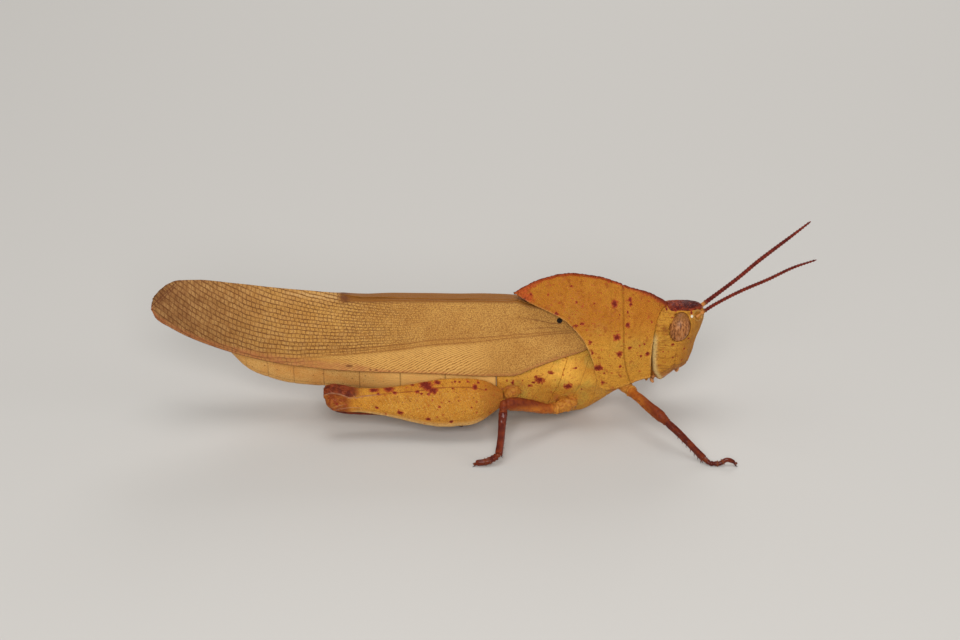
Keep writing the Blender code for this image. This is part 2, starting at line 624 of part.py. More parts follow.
def hind_thigh_ring(x):
    out_share, up_share = np.array(HIND_THIGH_SECTION).T
    depth, thickness = smooth(HIND_THIGH_DEPTH, x), smooth(HIND_THIGH_THICKNESS, x)
    out, up = out_share * thickness / 2, up_share * depth / 2
    lean = HIND_THIGH_LEAN
    y = smooth(HIND_THIGH_Y, x) + out * math.cos(lean) - up * math.sin(lean)
    z = smooth(HIND_THIGH_MIDDLE_Z, x) + out * math.sin(lean) + up * math.cos(lean)
    return np.stack([np.full(len(out), x), y, z], axis=-1)


def make_hind_thighs():
    stations = (-15.7, -15.4, -14.8, -13.8, -12.4, -10.8, -9, -7.2, -5.4, -3.6, -1.8, -0.4, 0.7, 1.5, 2.0)
    # The shin starts inside the knee, so its room is carried on past its end.
    beyond = np.array(HIND_SHIN[0]) * 2 - np.array(HIND_SHIN[1])
    room_path = (beyond, *HIND_SHIN)
    room_radii = np.array((HIND_SHIN_RADII[0], *HIND_SHIN_RADII)) + GAP
    for side in (LEFT, RIGHT):
        name = "femur_hind_" + SIDE_NAMES[side]
        mesh = loft(name, [sided(side, hind_thigh_ring(x)) for x in stations])
        thigh = object_of(name, mesh, (0.58, 0.28, 0.05), 0.4)
        room = limb("room", sided(side, room_path), room_radii, room_radii)
        cut(thigh, cutter_of("room_tibia_hind_" + SIDE_NAMES[side], room))


def main():
    for thing in list(bpy.data.objects):
        bpy.data.objects.remove(thing)
    collection("grasshopper")
    collection("cutters").hide_render = True
    make_pronotum()
    thorax = make_thorax()
    make_abdomen()
    make_forewings()
    make_hindwings()
    make_head()
    make_antennae()
    make_feet_and_shins()
    make_hips_and_thighs(thorax)
    make_hind_thighs()


main()
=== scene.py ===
"""A gumleaf grasshopper at rest, life size: the finished look of every shell plate, wing and limb.

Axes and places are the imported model's: +X ahead, +Y to its left, +Z up. Shapes are worked out in
millimetres and turned into metres as each mesh is made.
"""

import math

import bmesh
import bpy
import numpy as np
from mathutils import Matrix, Vector


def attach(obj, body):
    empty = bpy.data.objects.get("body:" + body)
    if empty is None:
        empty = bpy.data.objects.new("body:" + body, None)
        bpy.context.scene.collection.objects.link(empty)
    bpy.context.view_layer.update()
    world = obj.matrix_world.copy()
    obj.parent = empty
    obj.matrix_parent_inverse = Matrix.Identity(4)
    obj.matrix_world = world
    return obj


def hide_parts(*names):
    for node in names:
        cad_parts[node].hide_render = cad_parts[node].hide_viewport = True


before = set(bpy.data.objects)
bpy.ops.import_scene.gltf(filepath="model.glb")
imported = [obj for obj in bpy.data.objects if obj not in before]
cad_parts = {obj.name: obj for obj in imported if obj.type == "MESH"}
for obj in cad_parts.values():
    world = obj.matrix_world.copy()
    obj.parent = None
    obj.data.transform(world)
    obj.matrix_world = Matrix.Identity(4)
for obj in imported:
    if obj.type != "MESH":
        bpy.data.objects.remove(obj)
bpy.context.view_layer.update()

# ------------------------------------------------------------------------------ thorax and abdomen
# The trunk is a tapering case of thin horny plates. Three slices make the thorax, joined at slanting
# sutures, and the abdomen's rings each tuck under the one ahead of them.

MM = 0.001
SIDES = {"left": 1, "right": -1}


def smooth(knots, x):
    """A curve through the knots that never swings past one of them.

    Each span is a cubic. Its slope at a knot is the harmonic mean of the slopes of the straight
    lines on either side, and 0 where those lines turn back.
    """
    at, value = np.array(knots, float).T
    step = np.diff(at)
    rise = np.diff(value) / step
    before, after = 2 * step[1:] + step[:-1], step[1:] + 2 * step[:-1]
    onward = rise[:-1] * rise[1:] > 0
    safe_before, safe_after = np.where(onward, rise[:-1], 1), np.where(onward, rise[1:], 1)
    inner = np.where(onward, (before + after) / (before / safe_before + after / safe_after), 0)
    slope = np.concatenate([rise[:1], inner, rise[-1:]])
    x = np.clip(x, at[0], at[-1])
    i = np.clip(np.searchsorted(at, x, side="right") - 1, 0, len(step) - 1)
    t = (x - at[i]) / step[i]
    from_left = (1 + 2 * t) * (1 - t) ** 2 * value[i] + t * (1 - t) ** 2 * step[i] * slope[i]
    from_right = t * t * (3 - 2 * t) * value[i + 1] - t * t * (1 - t) * step[i] * slope[i + 1]
    return from_left + from_right


def ease(value, low, high):
    """0 below low and 1 above high, with the smooth step 3t² - 2t³ between them."""
    t = np.clip((value - low) / (high - low), 0, 1)
    return t * t * (3 - 2 * t)


def between(value, start, full, fading, end):
    """0 up to start, 1 from full to fading, and 0 again from end on, with smooth steps between."""
    return ease(value, start, full) * ease(-value, -end, -fading)


def bell(distance, width):
    """A rounded ridge: e to the power of -(distance / width)²."""
    return np.exp(-((distance / width) ** 2))


def unit(vectors):
    """Each vector divided by its own length."""
    return vectors / np.maximum(np.linalg.norm(vectors, axis=-1, keepdims=True), 1e-9)


def lift(grid, height, around=True):
    """The grid with each point moved by height along the surface's normal there.

    The normal is the unit cross product of two differences: from the row before to the row after,
    and from the column before to the column after. It points out of the trunk, the shield, the fore
    wings and the jumping thighs, but into a limb's rings, the hind wings and the head's levels, where
    a positive height sinks the surface. around says that the last column meets the first.
    """
    down = np.gradient(grid, axis=0)
    along = np.roll(grid, -1, axis=1) - np.roll(grid, 1, axis=1) if around else np.gradient(grid, axis=1)
    return grid + unit(np.cross(down, along)) * np.asarray(height)[..., None]


def skin(name, grid, around=False, ends=False, facing=None, **fields):
    """A mesh over a grid of points: one quad between each four neighbours.

    around joins the last column to the first, and ends closes the first and the last row with a
    fan about its middle. The faces are turned outwards, or to the side of facing on an open sheet.
    fields are numbers at the grid's points, kept as attributes for the materials.
    """
    rows, columns = grid.shape[:2]
    index = np.arange(rows * columns).reshape(rows, columns)
    if around:
        index = np.concatenate([index, index[:, :1]], axis=1)
    quads = np.stack([index[:-1, :-1], index[:-1, 1:], index[1:, 1:], index[1:, :-1]], axis=-1)
    points, faces = grid.reshape(-1, 3), quads.reshape(-1, 4)
    corners = points[faces]
    areas = np.cross(corners[:, 2] - corners[:, 0], corners[:, 3] - corners[:, 1])
    toward = corners.mean(axis=1) - points.mean(axis=0) if facing is None else np.array(facing, float)
    flipped = (areas * toward).sum() < 0
    faces = faces[:, ::-1].tolist() if flipped else faces.tolist()
    if ends:
        points = np.concatenate([points, grid[0].mean(axis=0)[None], grid[-1].mean(axis=0)[None]])
        first, last = rows * columns, rows * columns + 1
        fan = np.stack([np.full(index.shape[1] - 1, first), index[0, 1:], index[0, :-1]], axis=-1)
        far_fan = np.stack([np.full(index.shape[1] - 1, last), index[-1, :-1], index[-1, 1:]], axis=-1)
        fans = np.concatenate([fan, far_fan])
        faces += (fans[:, ::-1] if flipped else fans).tolist()
    mesh = bpy.data.meshes.new(name)
    mesh.from_pydata((points * MM).tolist(), [], faces)
    for field, values in fields.items():
        flat = np.broadcast_to(values, (rows, columns)).ravel()
        if ends:
            flat = np.append(flat, [flat[0], flat[-1]])
        mesh.attributes.new(field, "FLOAT", "POINT").data.foreach_set("value", flat.astype(np.float32))
    mesh.shade_smooth()
    thing = bpy.data.objects.new(name, mesh)
    bpy.context.scene.collection.objects.link(thing)
    return thing


def tube(name, rings, **fields):
    """A closed skin: each ring is joined up, and the first and the last one are filled in."""
    return skin(name, rings, around=True, ends=True, **fields)


def join(name, things):
    """One object from several, each keeping its own closed surface."""
    with bpy.context.temp_override(
        active_object=things[0], selected_editable_objects=things, selected_objects=things
    ):
        bpy.ops.object.join()
    things[0].name = name
    things[0].data.name = name
    return things[0]


def dress(thing, slot, material, *nodes):
    """Gives a finished piece its material and its place in the model."""
    thing.data.materials.clear()
    thing.data.materials.append(material)
    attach(thing, "root")
    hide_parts(*nodes)
    return thing


class Finish:
    """A material in the making. Most methods add a node or two and give back an output."""

    def __init__(self, name, roughness, **sockets):
        self.material = bpy.data.materials.new(name)
        self.material.use_nodes = True
        self.nodes, self.links = self.material.node_tree.nodes, self.material.node_tree.links
        self.shader = self.nodes["Principled BSDF"]
        self.shader.inputs["Roughness"].default_value = roughness
        self.shader.inputs["Specular IOR Level"].default_value = 0.12
        for socket, value in sockets.items():
            self.shader.inputs[socket.replace("_", " ")].default_value = value
        self.place = self.nodes.new("ShaderNodeTexCoord").outputs["Object"]
        self.normal = None

    def put(self, socket, value):
        """Links value to the socket where it is another node's output, and otherwise sets it."""
        if isinstance(value, bpy.types.NodeSocket):
            self.links.new(value, socket)
        else:
            socket.default_value = value

    def number(self, operation, *values):
        """The result of one operation of arithmetic on the values."""
        node = self.nodes.new("ShaderNodeMath")
        node.operation = operation
        for socket, value in zip(node.inputs, values):
            self.put(socket, value)
        return node.outputs[0]

    def times(self, one, other):
        """The product of the two."""
        return self.number("MULTIPLY", one, other)

    def plus(self, one, other):
        """The sum of the two."""
        return self.number("ADD", one, other)

    def ramp(self, value, low, high, start=0.0, end=1.0):
        """start below low, end above high, and the smooth step between them."""
        node = self.nodes.new("ShaderNodeMapRange")
        node.interpolation_type = "SMOOTHSTEP"
        for socket, number in zip(node.inputs, (value, low, high, start, end)):
            self.put(socket, number)
        return node.outputs[0]

    def blend(self, share, below, above):
        """The colour below where share is 0 and above where it is 1."""
        node = self.nodes.new("ShaderNodeMix")
        node.data_type = "RGBA"
        self.put(node.inputs[0], share)
        self.put(node.inputs[6], below if isinstance(below, bpy.types.NodeSocket) else (*below, 1))
        self.put(node.inputs[7], above if isinstance(above, bpy.types.NodeSocket) else (*above, 1))
        return node.outputs[2]

    def field(self, name, share=None):
        """The numbers that the mesh keeps under this name, times share where one is given."""
        node = self.nodes.new("ShaderNodeAttribute")
        node.attribute_name = name
        return node.outputs["Fac"] if share is None else self.times(node.outputs["Fac"], share)

    def stretch(self, scale, lean=0.0):
        """The place on the piece, times scale along each axis and then turned by lean about Y."""
        node = self.nodes.new("ShaderNodeMapping")
        node.inputs["Scale"].default_value = scale
        node.inputs["Rotation"].default_value = (0, lean, 0)
        self.put(node.inputs["Vector"], self.place)
        return node.outputs[0]

    def noise(self, size, detail=3.0, place=None):
        """Cloudy noise, about 0 to 1, whose lumps are about size millimetres across."""
        node = self.nodes.new("ShaderNodeTexNoise")
        self.put(node.inputs["Vector"], place or self.place)
        node.inputs["Scale"].default_value = 1 / (size * MM)
        node.inputs["Detail"].default_value = detail
        return node.outputs["Fac"]

    def mottled(self, one, other, size, detail=3, low=0.35, high=0.65):
        """Two colours in clouds about size across: one where the noise is under low, other over high."""
        return self.blend(self.ramp(self.noise(size, detail), low, high), one, other)

    def waver(self, size, detail, swing):
        """Cloudy noise about 0: swing times the noise less one half."""
        return self.number("MULTIPLY_ADD", self.noise(size, detail), swing, -swing / 2)

    def cells(self, size):
        """The distance to the middle of the nearest of many cells, each about size millimetres across."""
        node = self.nodes.new("ShaderNodeTexVoronoi")
        self.put(node.inputs["Vector"], self.place)
        node.inputs["Scale"].default_value = 1 / (size * MM)
        return node.outputs["Distance"]

    def bump(self, height, depth):
        """Fine relief: height from 0 to 1 stands for depth millimetres."""
        node = self.nodes.new("ShaderNodeBump")
        node.inputs["Strength"].default_value = 1.0
        node.inputs["Distance"].default_value = depth * MM
        self.put(node.inputs["Height"], height)
        if self.normal:
            self.put(node.inputs["Normal"], self.normal)
        self.normal = node.outputs[0]
        self.put(self.shader.inputs["Normal"], self.normal)

    def colour(self, value):
        """Gives the shader its base colour."""
        self.put(self.shader.inputs["Base Color"], value)


def spots_at(grid, spots, spread=1.4):
    """Nearness to the nearest spot, 1 at its middle and 0 at spread times its radius.

    A spot is x, z, its radius and how many times longer it is along X than it is tall.
    """
    near = np.zeros(grid.shape[:2])
    for x, z, radius, longer in spots:
        away = np.hypot((grid[..., 0] - x) / longer, grid[..., 2] - z)
        near = np.maximum(near, 1 - away / (radius * spread))
    return near


BLOOD = (0.19, 0.017, 0.010)


def cuticle(name, base, paler, darker, grain=0.2, roughness=0.5, depth=1.0):
    """Horny skin: a mottled base colour, with painted highlights on the tops of tiny domes and painted shade
    in the pits between them.
    """
    finish = Finish(name, roughness)
    colour = finish.mottled(base, paler, 2.6, 3, 0.38, 0.64)
    colour = finish.blend(finish.ramp(finish.noise(0.5, 4), 0.50, 0.66, 0, 0.5), colour, darker)
    dome = finish.cells(grain)
    pit, top = [0.7 * part for part in darker], [1.45 * part for part in paler]
    # Painted shade in the pits, then painted highlights on the dome tops.
    colour = finish.blend(finish.ramp(dome, 0.30, 0.75, 0, 0.6 * depth), colour, pit)
    colour = finish.blend(finish.ramp(dome, 0.05, 0.36, 0.5 * depth, 0), colour, top)
    finish.bump(finish.ramp(dome, 0.0, 0.7, 1.0, 0.0), 0.08 * depth)
    finish.bump(finish.noise(0.5, 3), 0.03)
    return finish, colour


def spotted(finish, colour):
    """Adds rusty specks, and ragged blood-red spots with rusty borders where the spots field is high."""
    ragged = finish.waver(0.2, 4, 1.3)
    near = finish.plus(finish.field("spots"), ragged)
    speck = finish.ramp(finish.cells(1.3), 0.05, 0.13, 0.75, 0)
    halo = finish.number("MAXIMUM", finish.ramp(near, 0.10, 0.30, 0, 0.85), speck)
    colour = finish.blend(halo, colour, (0.40, 0.055, 0.016))
    return finish.blend(finish.ramp(near, 0.40, 0.60, 0, 0.95), colour, BLOOD)


BELLY = (
    (-26.2, 8.0), (-25, 6.6), (-23.4, 4.95), (-21.5, 4.08), (-19, 3.42), (-16, 3.18), (-10, 2.85), (-5, 2.3),
    (0, 1.5), (3, 0.85), (5.5, 0.45), (8, 0.35), (9.9, 0.55), (11.9, 1.7), (13.7, 3.0), (16.6, 4.3),
)
BACK = (
    (-26.2, 9.3), (-24, 9.7), (-18, 9.5), (-10, 9.6), (-4, 10.0), (1, 10.6), (10, 10.8), (12.5, 11.6),
    (16.6, 10.4),
)
WIDEST = ((-26.2, 8.7), (-22, 6.8), (-16, 6.0), (-8, 5.6), (0, 4.9), (5, 4.6), (10, 4.7), (16.6, 6.8))
HALF_WIDTH = (
    (-26.2, 0.55), (-24.5, 1.15), (-22, 1.6), (-18, 2.05), (-14, 2.25), (-8, 2.5), (-2, 2.8), (2, 3.05),
    (7, 3.2), (10, 3.0), (12.5, 2.75), (14.5, 2.45), (16.6, 1.9),
)
# How far a ring's top lies ahead of its foot, for each millimetre up.
SLANT = (
    (1.6, 0), (3.1, 0.144), (4.6, 0.288), (6.2, 0.36), (9.1, 0.36), (10.2, 0.288), (11.4, 0.144),
    (12.6, 0),
)
SLANT_PIVOT_Z = 6.0


def trunk(x, columns, size=1.0):
    """Egg-shaped rings at x: height is widest + sin(turn) times the way to the back or the belly.

    The half-width is that of the curve times cos(turn) to the power 1.9 above the widest level and
    0.75 below it, which makes the back narrow and the belly broad. The flanks swell by a quarter
    beside the shield's lobes, and by a fifth under the wings.
    """
    turn = np.linspace(-math.pi / 2, math.pi * 1.5, columns, endpoint=False)
    up, across = np.sin(turn), np.cos(turn)
    x, size = np.asarray(x)[:, None], np.broadcast_to(size, len(x))[:, None]
    place = np.repeat(x, columns, axis=1)
    # The slant moves a point along x by its height, and the height goes by x: five rounds settle both.
    for _ in range(5):
        belly, back, widest = smooth(BELLY, place), smooth(BACK, place), smooth(WIDEST, place)
        z = widest + up * np.where(up > 0, back - widest, widest - belly) * size
        place = x + smooth(SLANT, x) * (z - SLANT_PIVOT_Z)
    power = np.where(up > 0, 1.9, 0.75)
    by_lobes = between(place, 4.5, 8.5, 12.5, 14.5) * between(z, 3.0, 5.2, 6.8, 8.6)
    flank = 0.25 * by_lobes + 0.2 * between(place, -17, -9, 1.0, 4.5)
    y = smooth(HALF_WIDTH, place) * size * np.sign(across) * np.abs(across) ** power * (1 + flank)
    return np.stack([place, y, z], axis=-1)


# The middle of each hip on the left side, and its radius.
HIPS = ((14.0, 2.4, 3.8, 0.8), (8.4, 3.0, 2.35, 0.8), (3.0, 3.5, 3.6, 0.95))
# Sutures of the pleura: where each crosses the pivot level, its slant, and how deep it is.
SUTURES = ((10.15, 0.36, 0.05), (4.75, 0.72, 0.05), (11.55, 0.1, 0.03), (6.6, 0.5, 0.018))
THORAX_SPOTS = (
    (5.75, 5.3, 0.38, 1.3), (8.63, 4.88, 0.36, 1.35), (5.15, 4.95, 0.14, 1.6), (4.85, 4.55, 0.13, 1.8),
    (4.1, 5.1, 0.07, 1.3), (6.9, 6.2, 0.16, 2.2), (3.1, 5.0, 0.2, 1.0), (10.0, 4.35, 0.12, 1.0),
    (5.4, 5.6, 0.11, 1.6), (9.4, 6.7, 0.09, 1.6), (2.5, 5.3, 0.12, 1.0),
)


def from_hips(grid):
    """For each hip, the distance of every point from its middle, and the hip's radius."""
    x, y, z = np.moveaxis(grid, -1, 0)
    for hip_x, hip_y, hip_z, radius in HIPS:
        yield np.sqrt((x - hip_x) ** 2 + (np.abs(y) - hip_y) ** 2 + (z - hip_z) ** 2), radius


def thorax_relief(grid):
    """Grooves along the sutures, a raised rim round each hip, and creased skin beside the hips."""
    x, y, z = np.moveaxis(grid, -1, 0)
    height = np.zeros(x.shape)
    on_side = ease(np.abs(y), 1.6, 2.3)
    for crossing, slant, depth in SUTURES:
        away = (x - crossing - slant * (z - SLANT_PIVOT_Z)) / math.hypot(1, slant)
        height += on_side * (0.03 * bell(away - 0.12, 0.16) - depth * bell(away, 0.055))
    for away, radius in from_hips(grid):
        height += 0.05 * bell(away - radius - 0.30, 0.12) - 0.08 * bell(away - radius - 0.08, 0.12)
        creases = np.sin(away * 17 + 2.2 * np.sin(x * 3.1 + z * 2.3))
        height += 0.022 * creases * between(away - radius, 0.3, 0.6, 0.7, 1.5)
    return height


def near_hips(grid):
    """1 within a hip's radius, falling to 0 at 1.3 mm beyond it."""
    near = np.zeros(grid.shape[:2])
    for away, radius in from_hips(grid):
        near = np.maximum(near, 1 - ease(away, radius, radius + 1.3))
    return near


pleura, pleura_colour = cuticle(
    "pleura", (0.68, 0.29, 0.034), (0.76, 0.39, 0.052), (0.50, 0.18, 0.022), 0.11, depth=0.75
)
# Painted light: the flanks under the wings and the shield are painted paler, in place of the light those
# overhangs keep off them.
pleura_colour = pleura.blend(pleura.field("lit", 0.6), pleura_colour, (0.98, 0.50, 0.075))
sore = pleura.times(pleura.field("hips"), pleura.ramp(pleura.noise(0.45, 4), 0.45, 0.58))
pleura_colour = pleura.blend(pleura.times(sore, 0.65), pleura_colour, (0.42, 0.11, 0.04))
olive = pleura.ramp(pleura.noise(2.2, 3), 0.50, 0.64, 0, 0.5)
pleura_colour = pleura.blend(olive, pleura_colour, (0.47, 0.31, 0.05))
at_seams = pleura.ramp(pleura.field("seam"), 0.35, 1, 0, 0.6)
pleura_colour = pleura.blend(at_seams, pleura_colour, (0.24, 0.09, 0.018))
pleura.colour(spotted(pleura, pleura_colour))

# The front and the rear joint of each slice, where they cross the pivot level.
THORAX_JOINTS = {"prothorax": (15.6, 12.55), "mesothorax": (12.65, 7.97), "metathorax": (8.03, 1.5)}
for node, (front, rear) in THORAX_JOINTS.items():
    share = np.linspace(0, 1, 150)
    x = front + (rear - front) * (share - np.sin(share * 2 * math.pi) / (2.6 * math.pi))
    edge = np.minimum(front - x, x - rear)
    plate = trunk(x, 220, 1 - 0.030 * bell(edge, 0.07))
    seams = np.zeros(plate.shape[:2])
    for crossing, slant, _ in SUTURES:
        away = plate[..., 0] - crossing - slant * (plate[..., 2] - SLANT_PIVOT_Z)
        seams = np.maximum(seams, bell(away, 0.05) * ease(np.abs(plate[..., 1]), 1.6, 2.3))
    seams = np.maximum(seams, bell(edge, 0.05)[:, None])
    plate = lift(plate, thorax_relief(plate))
    piece = tube(
        node + "_plate", plate,
        spots=spots_at(plate, THORAX_SPOTS, 1.3), hips=near_hips(plate), seam=seams,
        lit=ease(plate[..., 2], 4.6, 6.2) * ease(-plate[..., 0], -10.5, -8.5),
    )
    dress(piece, "thorax", pleura.material, node)

# The abdomen is nine rings. Each starts a little narrower than the end of the one ahead of it.
ABDOMEN_JOINTS = (1.45, -3.6, -8.1, -12.2, -15.8, -18.8, -21.4, -23.6, -25.2, -26.1)
stations, tuck, seam_near = [], [], []
for front, rear in zip(ABDOMEN_JOINTS[:-1], ABDOMEN_JOINTS[1:]):
    share = np.linspace(0, 1, 44) ** 0.8
    stations.append(front + (rear - front) * np.minimum(share, 0.995))
    tuck.append(1 - 0.014 * (1 - ease(share, 0, 0.22)) - 0.006 * bell(share - 1, 0.02))
    seam_near.append(bell(share * (front - rear), 0.06) + 0.6 * bell((1 - share) * (front - rear), 0.03))
stations, tuck, seam_near = (np.concatenate(parts) for parts in (stations, tuck, seam_near))
rings = trunk(stations, 200, tuck)
fold_z = smooth(BELLY, rings[..., 0]) * 0.72 + smooth(WIDEST, rings[..., 0]) * 0.28
fold = bell(rings[..., 2] - fold_z, 0.07) * ease(np.abs(rings[..., 1]), 0.6, 1.2)
rings = lift(rings, -0.05 * fold)

belly_skin = Finish("abdomen_rings", 0.48)
tan = belly_skin.mottled((0.66, 0.30, 0.075), (0.74, 0.41, 0.12), 1.8)
grain = belly_skin.cells(0.11)
# Painted shade between the grains and painted highlights on their tops.
tan = belly_skin.blend(belly_skin.ramp(grain, 0.38, 0.72, 0, 0.6), tan, (0.50, 0.21, 0.045))
tan = belly_skin.blend(belly_skin.ramp(grain, 0.05, 0.32, 0.5, 0), tan, (0.82, 0.52, 0.20))
pits = belly_skin.ramp(belly_skin.cells(0.62), 0.06, 0.17, 0.85, 0)
tan = belly_skin.blend(pits, tan, (0.20, 0.055, 0.015))
# Painted light: the front rings, shaded by the wings and the jumping thighs, are painted paler.
tan = belly_skin.blend(belly_skin.field("lit", 0.7), tan, (1.0, 0.58, 0.17))
tan = belly_skin.blend(belly_skin.ramp(belly_skin.field("seam"), 0.2, 0.9, 0, 0.6), tan, (0.28, 0.11, 0.03))
tan = belly_skin.blend(belly_skin.ramp(belly_skin.field("fold"), 0.3, 1, 0, 0.5), tan, (0.25, 0.09, 0.03))
belly_skin.colour(tan)
belly_skin.bump(belly_skin.ramp(grain, 0, 0.7, 1, 0), 0.04)
belly_skin.bump(belly_skin.noise(0.6, 3), 0.03)
abdomen = tube(
    "abdomen_case", rings, seam=seam_near[:, None], fold=fold, lit=ease(rings[..., 0], -13.5, -7.5)
)
dress(abdomen, "abdomen", belly_skin.material, "abdomen")


# -------------------------------------------------------------------------------------------- tail
# Behind the last ring stand two short cerci and the four horny valves she digs with, which spring
# from the tail in pairs, their tips hooked apart.


def limb(path, across, deep, rings=90, sides=28, rounding=(0.06, 0.06)):
    """Rings about a smooth line through the path, half-widths across and deep, with round ends.

    The half-widths are given at the path's points. They shrink at both ends as a quarter circle
    does, over the shares of the length that rounding names. Gives the rings, each one's share of
    the length, its place and its ways ahead, sideways and up.
    """
    path = np.array(path, float)
    reach = np.concatenate([[0], np.cumsum(np.linalg.norm(np.diff(path, axis=0), axis=1))])
    reach /= reach[-1]
    share = 0.5 - 0.125 * np.cos(np.linspace(0, math.pi, rings)) + 0.375 * np.linspace(-1, 1, rings)
    share = (share - share[0]) / (share[-1] - share[0])
    centre = np.stack([smooth(np.stack([reach, column], axis=1), share) for column in path.T], axis=1)
    ways = unit(np.gradient(centre, axis=0))
    flat = unit(np.cross([0, 0, 1.0], ways))
    up = np.cross(ways, flat)
    near_end = np.maximum(1 - share / rounding[0], 1 - (1 - share) / rounding[1]).clip(0, 1)
    taper = np.sqrt(1 - near_end**2 * 0.97)
    wide = smooth(np.stack([reach, np.broadcast_to(across, len(path))], axis=1), share) * taper
    tall = smooth(np.stack([reach, np.broadcast_to(deep, len(path))], axis=1), share) * taper
    turn = np.linspace(0, 2 * math.pi, sides, endpoint=False)
    rings = (
        centre[:, None]
        + wide[:, None, None] * flat[:, None] * np.cos(turn)[None, :, None]
        + tall[:, None, None] * up[:, None] * np.sin(turn)[None, :, None]
    )
    return rings, share, turn, (centre, ways, flat, up)


def sided(side, points):
    """The points of the left side, or their mirror image on the right."""
    return np.array(points, float) * (1, side, 1)


horn = Finish("tail_horn", 0.38)
horn_colour = horn.mottled((0.34, 0.13, 0.04), (0.46, 0.21, 0.065), 0.5)
dark_tips = horn.ramp(horn.field("tipward"), 0.55, 1.0, 0, 0.9)
horn.colour(horn.blend(dark_tips, horn_colour, (0.045, 0.014, 0.008)))
horn.bump(horn.noise(0.14, 2), 0.02)

CERCUS_PATH = ((-26.0, 0.58, 9.1), (-26.8, 0.66, 9.3), (-27.5, 0.68, 9.42))
CERCUS_RADII = (0.29, 0.26, 0.07)
for name, side in SIDES.items():
    rings, share, _, _ = limb(sided(side, CERCUS_PATH), CERCUS_RADII, CERCUS_RADII, 40, 20, (0.1, 0.1))
    cercus = tube("cercus", rings, tipward=(share**2 * 0.7)[:, None])
    dress(cercus, "claw", horn.material, "cercus_" + name)

# The height at which the upper and the lower valve start, and how far each one's tip hooks up or down.
VALVES = ((8.62, 0.34), (8.22, -0.22))
VALVE_WIDTHS, VALVE_DEPTHS = (0.18, 0.18, 0.13, 0.04), (0.21, 0.21, 0.15, 0.05)
valves = []
for side in SIDES.values():
    for foot, hook in VALVES:
        path = sided(side, [
            (-26.1, 0.17, foot), (-26.7, 0.19, foot + hook * 0.2), (-27.3, 0.19, foot + hook * 0.35),
            (-27.62, 0.2, foot + hook * 1.05),
        ])
        rings, share, _, _ = limb(path, VALVE_WIDTHS, VALVE_DEPTHS, 50, 18, (0.05, 0.05))
        valves.append(tube("valve", rings, tipward=share[:, None]))
dress(join("ovipositor_valves", valves), "claw", horn.material, "ovipositor")


# ------------------------------------------------------------------------------------ hips and neck
# A soft pleated neck joins the head to the thorax, and a soft back fills the arch of the shield. Each
# leg hangs from the coxa, a knobbly stub in a hollow of the thorax, which narrows to a ring.


def ball(centre, radii, lean=0.0, roll=0.0, rings=60, sides=64):
    """An ellipsoid of this centre and these radii, turned by lean about Y and then by roll about X."""
    down = np.linspace(0.02, math.pi - 0.02, rings)[:, None]
    turn = np.linspace(0, 2 * math.pi, sides, endpoint=False)[None]
    shape = [np.sin(down) * np.cos(turn), np.sin(down) * np.sin(turn), np.cos(down) * np.ones_like(turn)]
    turned = np.array(Matrix.Rotation(roll, 3, "X") @ Matrix.Rotation(lean, 3, "Y"))
    return (np.stack(shape, axis=-1) * radii) @ turned.T + centre


def ripple(grid, size, seed=1):
    """Even lumps about size across: sixteen sine waves added up, whose ways and starts are random."""
    chance = np.random.default_rng(seed)
    ways = unit(chance.normal(size=(16, 3))) / (size * chance.uniform(0.8, 1.6, (16, 1)))
    return np.sin(2 * math.pi * (grid @ ways.T + chance.uniform(0, 1, 16))).sum(axis=-1) / 5


NECK_PATH = ((15.3, 0, 6.9), (16.3, 0, 6.75), (17.5, 0, 6.65))
SOFT_BACK_PATH = ((11.0, 0, 9.2), (12.8, 0, 9.4), (15.9, 0, 9.2))
SOFT_BACK_WIDTHS, SOFT_BACK_DEPTHS = (2.0, 2.75, 2.15), (1.8, 3.2, 2.5)
rings, share, _, _ = limb(NECK_PATH, 1.8, 3.0, 80, 90, (0.02, 0.02))
pleats = np.sin(share * 8 * math.pi)[:, None]
neck = tube("neck_skin", lift(rings, 0.16 * pleats), hips=0.7, seam=0.4 + 0.4 * pleats, spots=0.0)
rings, _, _, _ = limb(SOFT_BACK_PATH, SOFT_BACK_WIDTHS, SOFT_BACK_DEPTHS, 80, 90, (0.06, 0.02))
front_body = tube("under_shield", rings, hips=0.4, seam=0.0, spots=0.0, lit=0.0)
dress(join("neck_skin", [neck, front_body]), "thorax", pleura.material, "neck")

leg_skin = Finish("leg_horn", 0.42)
leg_pale = leg_skin.mottled((0.45, 0.17, 0.024), (0.53, 0.225, 0.032), 0.3, 4, 0.42, 0.58)
blotches = leg_skin.ramp(leg_skin.noise(0.28, 4), 0.52, 0.62, 0, 0.6)
leg_pale = leg_skin.blend(blotches, leg_pale, (0.34, 0.085, 0.018))
leg_bright = leg_skin.mottled((0.37, 0.095, 0.014), (0.46, 0.14, 0.018), 0.8, 3, 0.35, 0.6)
leg_dark = leg_skin.mottled((0.12, 0.018, 0.007), (0.21, 0.038, 0.008), 0.5, 3, 0.3, 0.6)
leg_colour = leg_skin.blend(leg_skin.ramp(leg_skin.field("along"), 0.0, 0.16), leg_pale, leg_bright)
deepening = leg_skin.number("MULTIPLY_ADD", leg_skin.field("upward"), 0.5, leg_skin.field("along"))
deepening = leg_skin.plus(deepening, leg_skin.waver(0.5, 3, 0.5))
leg_colour = leg_skin.blend(leg_skin.ramp(deepening, 0.38, 0.95), leg_colour, leg_dark)
leg_speck = leg_skin.ramp(leg_skin.cells(0.38), 0.06, 0.16, 0.6, 0)
leg_colour = leg_skin.blend(leg_speck, leg_colour, BLOOD)
streaks = leg_skin.ramp(leg_skin.noise(0.3, 4), 0.54, 0.64, 0, 0.6)
streaks = leg_skin.times(streaks, leg_skin.ramp(leg_skin.field("along"), 0.1, 0.3))
leg_colour = leg_skin.blend(streaks, leg_colour, (0.16, 0.022, 0.009))
leg_skin.colour(leg_skin.blend(leg_skin.field("membrane"), leg_colour, (0.42, 0.20, 0.12)))
leg_skin.bump(leg_skin.cells(0.16), 0.04)

